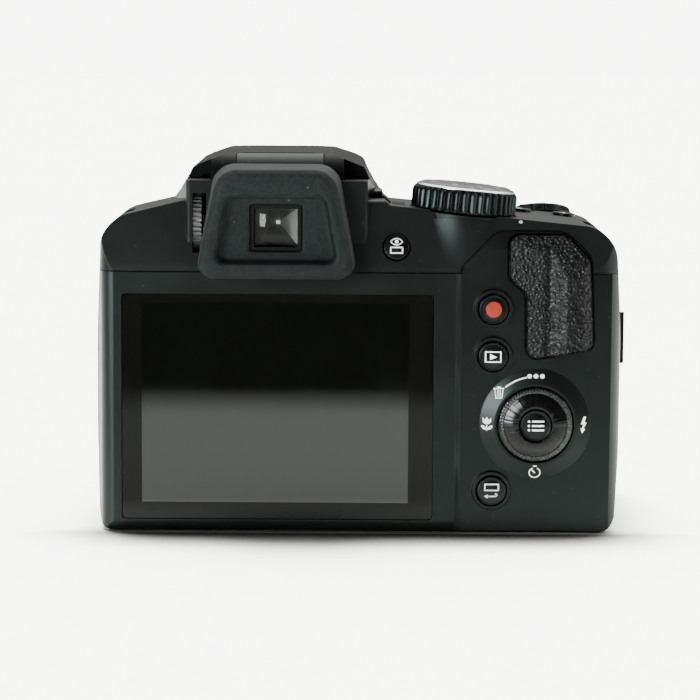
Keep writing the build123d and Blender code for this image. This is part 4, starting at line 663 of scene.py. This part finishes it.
dial_x, dial_y, dial_z = 42.95, -16.0, 73.2
dial_tilt = math.radians(5.53)
dial_at = frame_at((dial_x, dial_y, dial_z), (math.sin(dial_tilt), 0, math.cos(dial_tilt)), right)
dial_rim = moulded("dial_rim", (0.0016, 0.0020, 0.0020), 0.27, depth=0.00001, specular=0.22)
rows = [(0.0, 0.3), (11.3, 0.3), (11.75, 0.45), (12.1, 0.8, 0.4), (12.2, 1.3, 1.0), (12.2, 4.5, 1.0),
        (12.05, 5.0, 0.9), (11.7, 5.5, 0.5), (11.35, 5.8, 0.0), (11.15, 5.85), (11.1, 5.7), (0.0, 5.7)]
lathe("mode_dial_rim", rows, dial_at, dial_rim, "mode_dial", 960, scallops(44, 0.5), "mode_dial")
rows = [(11.45, 5.7), (11.45, 5.82), (11.1, 6.14), (10.88, 6.16), (10.85, 5.7)]
lathe("mode_dial_ring", rows, dial_at, bright_trim, "mode_dial", 192)
# The cap's bright and dark sectors are painted reflection.
dial_cap_look = spun_metal("dial_cap_metal", (0.10, 0.097, 0.092), (0.005, 0.0045, 0.004))
rows = [(10.85, 5.8), (10.85, 6.02), (10.3, 6.45), (9.9, 6.62), (8.6, 6.72), (3.0, 6.82), (0.0, 6.84)]
lathe("mode_dial_cap", rows, dial_at, dial_cap_look, "mode_dial", 192)
dial_ink = printed("dial_ink", (0.75, 0.76, 0.73))
number_count, number_size, number_thick, number_radius, number_height = 9, 3.0, 0.02, 8.2, 6.76


def numeral(name, text, matrix, body):
    """A plain figure that stands just proud of a face."""
    curve = bpy.data.curves.new(name, "FONT")
    curve.body = text
    curve.size = number_size * MM
    curve.extrude = number_thick * MM
    curve.align_x = "CENTER"
    curve.align_y = "CENTER"
    curve.materials.append(dial_ink)
    obj = bpy.data.objects.new(name, curve)
    bpy.context.scene.collection.objects.link(obj)
    obj.matrix_world = matrix
    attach(obj, body)


for k in range(number_count):
    turn = math.radians(90 - 360 / number_count * k)
    reach = number_radius * MM
    spot = Matrix.Translation((reach * math.cos(turn), reach * math.sin(turn), number_height * MM))
    place = dial_at @ spot @ Matrix.Rotation(turn - math.pi / 2, 4, "Z")
    numeral(f"dial_number_{k + 1}", str(k + 1), place, "mode_dial")
dot_blue = printed("dot_blue", (0.22, 0.31, 0.34), 0.4)
lathe("dial_index", [(0.52, -0.1), (0.52, 0.1), (0.4, 0.22), (0.2, 0.29), (0.0, 0.31)],
      frame_at((55.8, -26.35, 71.9), (0, -0.6, 0.8), right), dot_blue, "body", 40)

# Boss under the dial, blended into the leaning rear of the cover

boss_radius, boss_top, boss_flare = 12.05, 72.8, 0.12
blend_width, skin_lift = 0.9, 0.012
skin_low, skin_tall, skin_half, columns, levels = 61.6, 10.9, 12.6, 112, 60
deck_height, deck_slope = 72.35, 0.1016


def boss_depth(x, z):
    """How far the boss, or the rear face where it blends into it, stands behind the origin."""
    plane = rear_depth(z)
    radius = boss_radius + (boss_top - z) * boss_flare
    across = x - dial_x
    round_part = math.sqrt(radius * radius - across * across) - dial_y if abs(across) < radius else 0.0
    near = max(blend_width - abs(plane - round_part), 0.0) / blend_width
    return max(plane, round_part) + near * near * blend_width / 4 + skin_lift


verts, faces = [], []
for k in range(levels + 1):
    for i in range(columns + 1):
        x = dial_x - skin_half + 2 * skin_half * i / columns
        z = min(skin_low + skin_tall * k / levels, deck_height - deck_slope * (x - dial_x))
        verts.append((x, -boss_depth(x, z), z))
for k in range(levels):
    for i in range(columns):
        a = k * (columns + 1) + i
        quad = [a, a + 1, a + columns + 2, a + columns + 1]
        if any(-verts[v][1] > rear_depth(verts[v][2]) + skin_lift + 0.001 for v in quad):
            faces.append(quad)
piece("dial_boss_skin", verts, faces, black_top, "body", in_frame)

# Parting lines of the covers, drawn as dark strips of painted shade

# Near-black strips stand in for the shade inside the cover gaps: painted shade.
painted_seam_shade = moulded("painted_seam_shade", (0.0003, 0.0003, 0.0003), 0.7, depth=0.00001, specular=0.05)
seam_z, seam_half, seam_lift, seam_step = 60.25, 0.15, 0.02, 0.6
tab_left, tab_wide, tab_low, tab_tall, tab_round = 41.4, 30.8, 60.2, 9.6, 5
tab_shares = ((0.03, -0.02), (0.03, 0.17), (0.29, 1.0), (0.80, 1.0), (1.0, 0.42), (1.0, -0.02))


def rounded(points, radius, steps=8):
    """The open line through the points, with a curve of about the given radius at each inner corner."""
    line = [points[0]]
    for k in range(1, len(points) - 1):
        here, back, on = Vector(points[k]), Vector(points[k - 1]), Vector(points[k + 1])
        to_back, to_on = (back - here).normalized(), (on - here).normalized()
        run = radius / math.tan(to_back.angle(to_on) / 2)
        run = min(run, (back - here).length * 0.49, (on - here).length * 0.49)
        start, end = here + to_back * run, here + to_on * run
        for i in range(steps + 1):
            u = i / steps
            line.append(tuple(start * (1 - u) ** 2 + here * 2 * u * (1 - u) + end * u * u))
    line.append(points[-1])
    return line


def skin_depth(x, z):
    """The rear face with the dial boss that rises from it."""
    return max(rear_depth(z), boss_depth(x, z) if z > skin_low else 0.0)


def seam(name, line):
    """A thin dark strip of painted shade that lies on the rear face along a line."""
    points = []
    for (x0, z0), (x1, z1) in zip(line, line[1:]):
        cuts = max(1, int(math.hypot(x1 - x0, z1 - z0) / seam_step))
        points += [(x0 + (x1 - x0) * k / cuts, z0 + (z1 - z0) * k / cuts) for k in range(cuts)]
    points.append(line[-1])
    strip = []
    for (x, z), behind, ahead in zip(points, points[:1] + points, points[1:] + points[-1:]):
        dx, dz = ahead[0] - behind[0], ahead[1] - behind[1]
        size = math.hypot(dx, dz)
        for side in (-seam_half, seam_half):
            px, pz = x - dz / size * side, z + dx / size * side
            strip.append((px, -skin_depth(px, pz) - seam_lift, pz))
    piece(name, strip, strip_faces(len(points) - 1), painted_seam_shade, "body", in_frame, False)


tab_line = [(tab_left + u * tab_wide, tab_low + v * tab_tall) for u, v in tab_shares]
seam("tab_seam", rounded(tab_line, tab_round))
seam("left_seam", [(-37.8, seam_z), (42.3, seam_z)])
seam("right_seam", [(72.2, seam_z), (75.6, seam_z)])

# Rubber parts: edges softened, and relief of irregular pebbles on the skins


def soften(obj, voxel, factor, turns):
    """Evens the mesh and rounds its edges."""
    even = obj.modifiers.new("even", "REMESH")
    even.mode = "VOXEL"
    even.voxel_size = voxel * MM
    even.use_smooth_shade = True
    soft = obj.modifiers.new("soften", "SMOOTH")
    soft.factor = factor
    soft.iterations = turns


def displace(obj, name, texture, depth, middle):
    push = obj.modifiers.new(name, "DISPLACE")
    push.texture = texture
    push.texture_coords = "LOCAL"
    push.strength = depth * MM
    push.mid_level = middle


def relief(node, voxel, pebble, depth, fold_depth):
    obj = nodes[node]
    soften(obj, voxel, 0.5, 1)
    grain = bpy.data.textures.new(node + "_pebbles", "VORONOI")
    grain.noise_scale = pebble * MM
    grain.distance_metric = "DISTANCE"
    grain.weight_1 = -1.0
    grain.weight_2 = 1.0
    grain.noise_intensity = 1.2
    displace(obj, "pebbles", grain, depth, 0.75)
    fold = bpy.data.textures.new(node + "_folds", "CLOUDS")
    fold.noise_scale = pebble * 1.6 * MM
    fold.noise_depth = 2
    displace(obj, "folds", fold, fold_depth, 0.6)


grip_voxel = 0.22
relief("thumb_rest_rubber", 0.13, 0.85, 0.62, 0.12)
relief("grip_rubber", grip_voxel, 0.95, 0.5, 0.15)
soften(nodes["eyecup"], 0.32, 0.6, 5)

# Eyepiece: a funnel of four walls, coloured with painted light and shade, that narrows to a small screen that
# glows as painted light

# The screen's glow is painted light.
painted_glow_screen, tree, shader = new_material("finder_screen")
smear = noise_node(tree, object_coords(tree), 500.0, 3.0)
link(tree, mix_colour(tree, smear, (0.55, 0.56, 0.55), (0.8, 0.8, 0.78)), shader.inputs["Base Color"])
link(tree, mix_colour(tree, smear, (0.55, 0.56, 0.6), (0.9, 0.92, 1.0)), shader.inputs["Emission Color"])
shader.inputs["Emission Strength"].default_value = 1.0
finder = frame_at((0, -29.3, 70.7), rear, right)
wide, tall, screen_wide, screen_tall, deep = 4.75, 4.15, 0.42, 0.36, 12.0
around = ((-1, -1), (1, -1), (1, 1), (-1, 1))
mouth = [(x * wide, z * tall, 0) for x, z in around]
screen = [(x * screen_wide, z * screen_tall, -deep) for x, z in around]
# Wall colours are painted light and shade: the right wall pale as if lit, the low wall darkest.
for name, colour, points in (
        ("left", (0.05, 0.046, 0.038), (mouth[0], screen[0], screen[3], mouth[3])),
        ("right", (0.40, 0.42, 0.40), (mouth[1], mouth[2], screen[2], screen[1])),
        ("top", (0.045, 0.042, 0.034), (mouth[3], screen[3], screen[2], mouth[2])),
        ("low", (0.003, 0.003, 0.0025), (mouth[0], mouth[1], screen[1], screen[0]))):
    wall = moulded("finder_" + name, colour, 0.3, depth=0.000004, wear=0.25, specular=0.12)
    piece("finder_wall_" + name, points, [[0, 1, 2, 3]], wall, "eyepiece", finder, False)
piece("finder_picture", screen, [[0, 1, 2, 3]], painted_glow_screen, "eyepiece", finder, False)

# Dioptre wheel, on its shaft

# The ridges are coloured mid grey, far lighter than the black plastic, as painted light on the shaded wheel.
dioptre_painted_light = moulded("dioptre_ridges", (0.09, 0.094, 0.09), 0.34, depth=0.000006)
rows = [(0.0, 0.0), (6.2, 0.0), (6.6, 0.3, 1.0), (6.6, 2.2, 1.0), (6.2, 2.5), (1.5, 2.5), (1.5, 11.7),
        (0.0, 11.7)]
dioptre_at = frame_at((-19.7, -21.5, 71.3), right, front)
lathe("diopter_wheel_rim", rows, dioptre_at, dioptre_painted_light, "diopter_wheel", 432, ridges(36, 0.5, 0.4),
      "diopter_wheel")

# Shutter group, on the slope of the top cover

slope_back, slope_front, slope_high, slope_low = 3.0, 36.5, 74.5, 63.5
shutter_x, shutter_y = 63.8, 21.5
slope = math.atan2(slope_high - slope_low, slope_front - slope_back)
shutter_z = slope_high - (slope_high - slope_low) / (slope_front - slope_back) * (shutter_y - slope_back)
shutter_at = frame_at((shutter_x, shutter_y, shutter_z), (0, math.sin(slope), math.cos(slope)), right)
rows = [(4.95, 1.2), (4.95, 3.35), (4.75, 3.6), (4.3, 3.62), (3.4, 3.45), (1.8, 3.3), (0.0, 3.25)]
lathe("shutter_cap", rows, shutter_at, bright_trim, "shutter_button", 120)
rows = [(7.15, 0.9, 1.0), (7.3, 1.1, 1.0), (7.3, 2.6, 1.0), (7.05, 2.95, 0.4)]
lathe("zoom_ring_grip", rows, shutter_at, black_button, "zoom_lever", 300, ridges(60, 0.22, 0.5), None,
      (100.0, 440.0))
small_y, small_inset, small_up = 3.5, 0.28, (0.102, 0, 0.995)
for name, x, sign in (("burst", 57.5, two_lines), ("exposure", 68.0, plus)):
    node = name + "_button"
    low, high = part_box(node)
    place = frame_at((x, small_y, high[2] / MM - small_inset), small_up, right)
    print_on(name + "_sign", sign, place, white_print, node, 0.03, 0.1)

# Lens: coated glass in a ribbed funnel, with turned rings round the barrel


def bowl(radius, edge_depth, depth, count=14):
    """Rows of a spherical face, from its rim to its middle."""
    sphere = (radius * radius + (depth - edge_depth) ** 2) / (2 * (depth - edge_depth))
    rows = []
    for k in range(count + 1):
        r = radius * (1 - k / count)
        rows.append((r, depth - sphere + math.sqrt(sphere * sphere - r * r)))
    return rows


lens_z, barrel_radius = 37.5, 34.5
lens_at = frame_at((0, 0, lens_z), front, right)
front_coat = coated("front_coating", (0.0008, 0.0007, 0.0013), 125.0)
lathe("front_glass_face", bowl(24.5, 70.06, 72.09), lens_at, front_coat, "inner_tube", 144)
funnel_look = moulded("funnel_black", (0.0012, 0.0013, 0.0013), 0.5, depth=0.00001, specular=0.3)
rib_count, funnel_radius, funnel_in, funnel_mouth, funnel_deep = 9, 28.35, 4.35, 77.25, 4.95
rows = []
for k in range(rib_count):
    share = k / rib_count
    r = funnel_radius - funnel_in * share
    y = funnel_mouth - funnel_deep * share
    rows += [(r, y + 0.05), (r - 0.12, y - 0.42)]
rows += [(23.95, 72.35), (23.8, 72.25)]
lathe("funnel_ribs", rows, lens_at, funnel_look, "inner_tube", 144)
rows = [(33.42, 76.6), (33.3, 77.6), (32.9, 78.12), (32.2, 78.19), (30.6, 78.19), (30.3, 77.9), (30.25, 77.2)]
lathe("front_ring_lip", rows, lens_at, black_barrel, "outer_tube", 192)
# The dark barrel lines are slightly raised bands coloured near-black as painted groove shade.
painted_groove_shade = moulded("painted_groove_shade", (0.0004, 0.0004, 0.0004), 0.6, depth=0.00001, specular=0.1)
line_lift, line_edge = 0.03, 0.05
for name, depth, width in (("barrel_line_rear", 24.0, 0.35), ("barrel_line_front", 64.6, 0.5)):
    rows = [(barrel_radius, depth), (barrel_radius + line_lift, depth + line_edge),
            (barrel_radius + line_lift, depth + width - line_edge), (barrel_radius, depth + width)]
    lathe(name, rows, lens_at, painted_groove_shade, "body", 192)
rows = [(barrel_radius, 66.0), (34.62, 66.3), (34.62, 67.5), (34.3, 67.95), (33.6, 67.98)]
lathe("barrel_rim", rows, lens_at, black_barrel, "body", 192)
rows = [(2.9, 8.1), (2.75, 8.17), (2.3, 8.12), (2.0, 8.17), (1.5, 8.12), (1.1, 8.17), (0.6, 8.12), (0, 8.18)]
lathe("lamp_rings", rows, frame_at((38.5, 0, 66.0), front, right), lamp_tint, "body", 72)

# Camera, floor and light, in metres


def add_camera(scene):
    """The photo's camera, as its view was fitted: field of view in pixels, rise, reach and roll."""
    photo_px, focal_px, film_width = 700.0, 2622.0, 36.0
    rise, roll, reach = math.radians(7.0), math.radians(0.36), 0.600
    target = Vector((0.0169, -0.030, 0.0425))
    camera = bpy.data.objects.new("camera", bpy.data.cameras.new("camera"))
    scene.collection.objects.link(camera)
    scene.camera = camera
    camera.location = target + Vector((0.0, -math.cos(rise), math.sin(rise))) * reach
    turn = (target - camera.location).to_track_quat("-Z", "Y").to_matrix().to_4x4()
    camera.rotation_mode = "QUATERNION"
    camera.rotation_quaternion = (turn @ Matrix.Rotation(roll, 4, "Z")).to_quaternion()
    camera.data.sensor_width = film_width
    camera.data.lens = focal_px / photo_px * film_width
    camera.data.clip_start = 0.01


def level_sheet(scene, name, height, far_edge, mat):
    """A wide level sheet that ends at the given Y."""
    half = 6
    mesh = bpy.data.meshes.new(name)
    mesh.from_pydata([(-half, -half, height), (half, -half, height), (half, far_edge, height),
                      (-half, far_edge, height)], [], [(0, 1, 2, 3)])
    mesh.materials.append(mat)
    obj = bpy.data.objects.new(name, mesh)
    scene.collection.objects.link(obj)
    return obj


def by_ray(tree, kind, others, chosen):
    """One shader for rays of the named kind and another for all others."""
    rays = tree.nodes.new("ShaderNodeLightPath")
    both = tree.nodes.new("ShaderNodeMixShader")
    link(tree, rays.outputs[kind], both.inputs[0])
    link(tree, others, both.inputs[1])
    link(tree, chosen, both.inputs[2])
    return both.outputs[0]


def diffuse(tree, colour):
    n = tree.nodes.new("ShaderNodeBsdfDiffuse")
    link(tree, colour, n.inputs["Color"])
    return n.outputs[0]


def add_floor(scene):
    """A pale sheet as bright as the background, with a soft painted contact shadow where the camera stands on
    it; rays from reflections see it dimmer, and brighter near the camera as painted reflection.
    """
    mat, tree, shader = new_material("floor_sheet")
    tree.nodes.remove(shader)
    at = object_coords(tree)
    y = split(tree, at)[1]
    cloud = noise_node(tree, at, 3.0, 3.0)
    # Ambient occlusion darkens the sheet round the camera's base: a painted contact shadow.
    near = tree.nodes.new("ShaderNodeAmbientOcclusion")
    near.inputs["Distance"].default_value = 0.024
    near.samples = 24
    painted_shadow = maths(tree, "POWER", remap(tree, near.outputs["AO"], 0.50, 0.98, 0.0, 1.0), 2.3)
    lit = maths(tree, "ADD", painted_shadow.outputs[0], remap(tree, y, -0.031, -0.024, 0.0, 0.8))
    lit.use_clamp = True
    sheet = mix_colour(tree, cloud, (2.15, 2.15, 2.08), (2.25, 2.25, 2.18))
    seen = diffuse(tree, mix_colour(tree, lit.outputs[0], (0.03, 0.03, 0.028), sheet))
    away = mix_colour(tree, cloud, (0.38, 0.40, 0.37), (0.43, 0.45, 0.415))
    # Rays from reflections see the sheet brighter near the camera's rear face: painted reflection.
    close = remap(tree, y, -0.075, -0.045, 0.0, 1.0)
    mirrored = diffuse(tree, mix_colour(tree, close, away, (1.05, 1.09, 1.02)))
    bounce = diffuse(tree, mix_colour(tree, cloud, (2.2, 2.24, 2.2), (2.3, 2.34, 2.3)))
    unseen = by_ray(tree, "Is Diffuse Ray", mirrored, bounce)
    link(tree, by_ray(tree, "Is Camera Ray", unseen, seen), tree.nodes["Material Output"].inputs["Surface"])
    floor = level_sheet(scene, "floor", -0.00005, 6, mat)


def add_flag(scene):
    """A black sheet that only reflections see, which darkens the upper part of the display."""
    mat, tree, shader = new_material("flag_black")
    at = object_coords(tree)
    shade = mix_colour(tree, noise_node(tree, at, 2.0), (0.004, 0.004, 0.004), (0.008, 0.008, 0.007))
    link(tree, shade, shader.inputs["Base Color"])
    shader.inputs["Roughness"].default_value = 0.9
    shader.inputs["Specular IOR Level"].default_value = 0.0
    link(tree, remap(tree, split(tree, at)[1], -0.258, -0.203, 1.0, 0.0), shader.inputs["Alpha"])
    flag = level_sheet(scene, "flag", 0.002, -0.19, mat)
    flag.visible_camera = False
    flag.visible_diffuse = False
    flag.visible_shadow = False
    flag.visible_transmission = False


def add_world(scene):
    """A plain pale background, and for the light a sky that is bright above and behind the object."""
    world = bpy.data.worlds.new("world")
    scene.world = world
    world.use_nodes = True
    tree = world.node_tree
    sky = tree.nodes["Background"]
    parts = split(tree, tree.nodes.new("ShaderNodeTexCoord").outputs["Generated"])
    toward = remap(tree, parts[1], -0.30, 0.40, 0.0, 1.0)
    night = (0.008, 0.008, 0.008)
    high = mix_colour(tree, toward, night, (1.0, 1.0, 0.97))
    low = mix_colour(tree, toward, night, (0.05, 0.05, 0.048))
    link(tree, mix_colour(tree, remap(tree, parts[2], 0.30, 0.85, 0.0, 1.0), low, high), sky.inputs["Color"])
    sky.inputs["Strength"].default_value = 5.6
    plain = tree.nodes.new("ShaderNodeBackground")
    plain.inputs["Color"].default_value = (1.0, 1.0, 0.965, 1.0)
    plain.inputs["Strength"].default_value = 8.0
    seen = by_ray(tree, "Is Camera Ray", sky.outputs[0], plain.outputs[0])
    link(tree, seen, tree.nodes["World Output"].inputs["Surface"])


def add_lights(scene):
    """Two window panes that show only as reflections, and a soft skylight that shows in none."""
    for name, place, size, power in (("window", (-0.95, -1.35, 0.22), (0.8, 0.9), 60.0),
                                     ("side_window", (1.5, -0.35, 0.35), (0.5, 0.9), 10.0)):
        pane = bpy.data.lights.new(name, "AREA")
        pane.shape = "RECTANGLE"
        pane.size, pane.size_y = size
        pane.energy = power
        pane.color = (0.94, 0.98, 1.0)
        lamp = bpy.data.objects.new(name, pane)
        scene.collection.objects.link(lamp)
        lamp.location = place
        lamp.rotation_mode = "QUATERNION"
        lamp.rotation_quaternion = (Vector((0, 0, 0.05)) - Vector(place)).to_track_quat("-Z", "Y")
        lamp.visible_diffuse = False
    sky = bpy.data.lights.new("skylight", "SUN")
    sky.energy = 6.4
    sky.angle = math.radians(22)
    lamp = bpy.data.objects.new("skylight", sky)
    scene.collection.objects.link(lamp)
    lamp.rotation_euler = (math.radians(-12), math.radians(-5), 0)
    lamp.visible_glossy = False


for add in (add_camera, add_floor, add_flag, add_world, add_lights):
    add(bpy.context.scene)
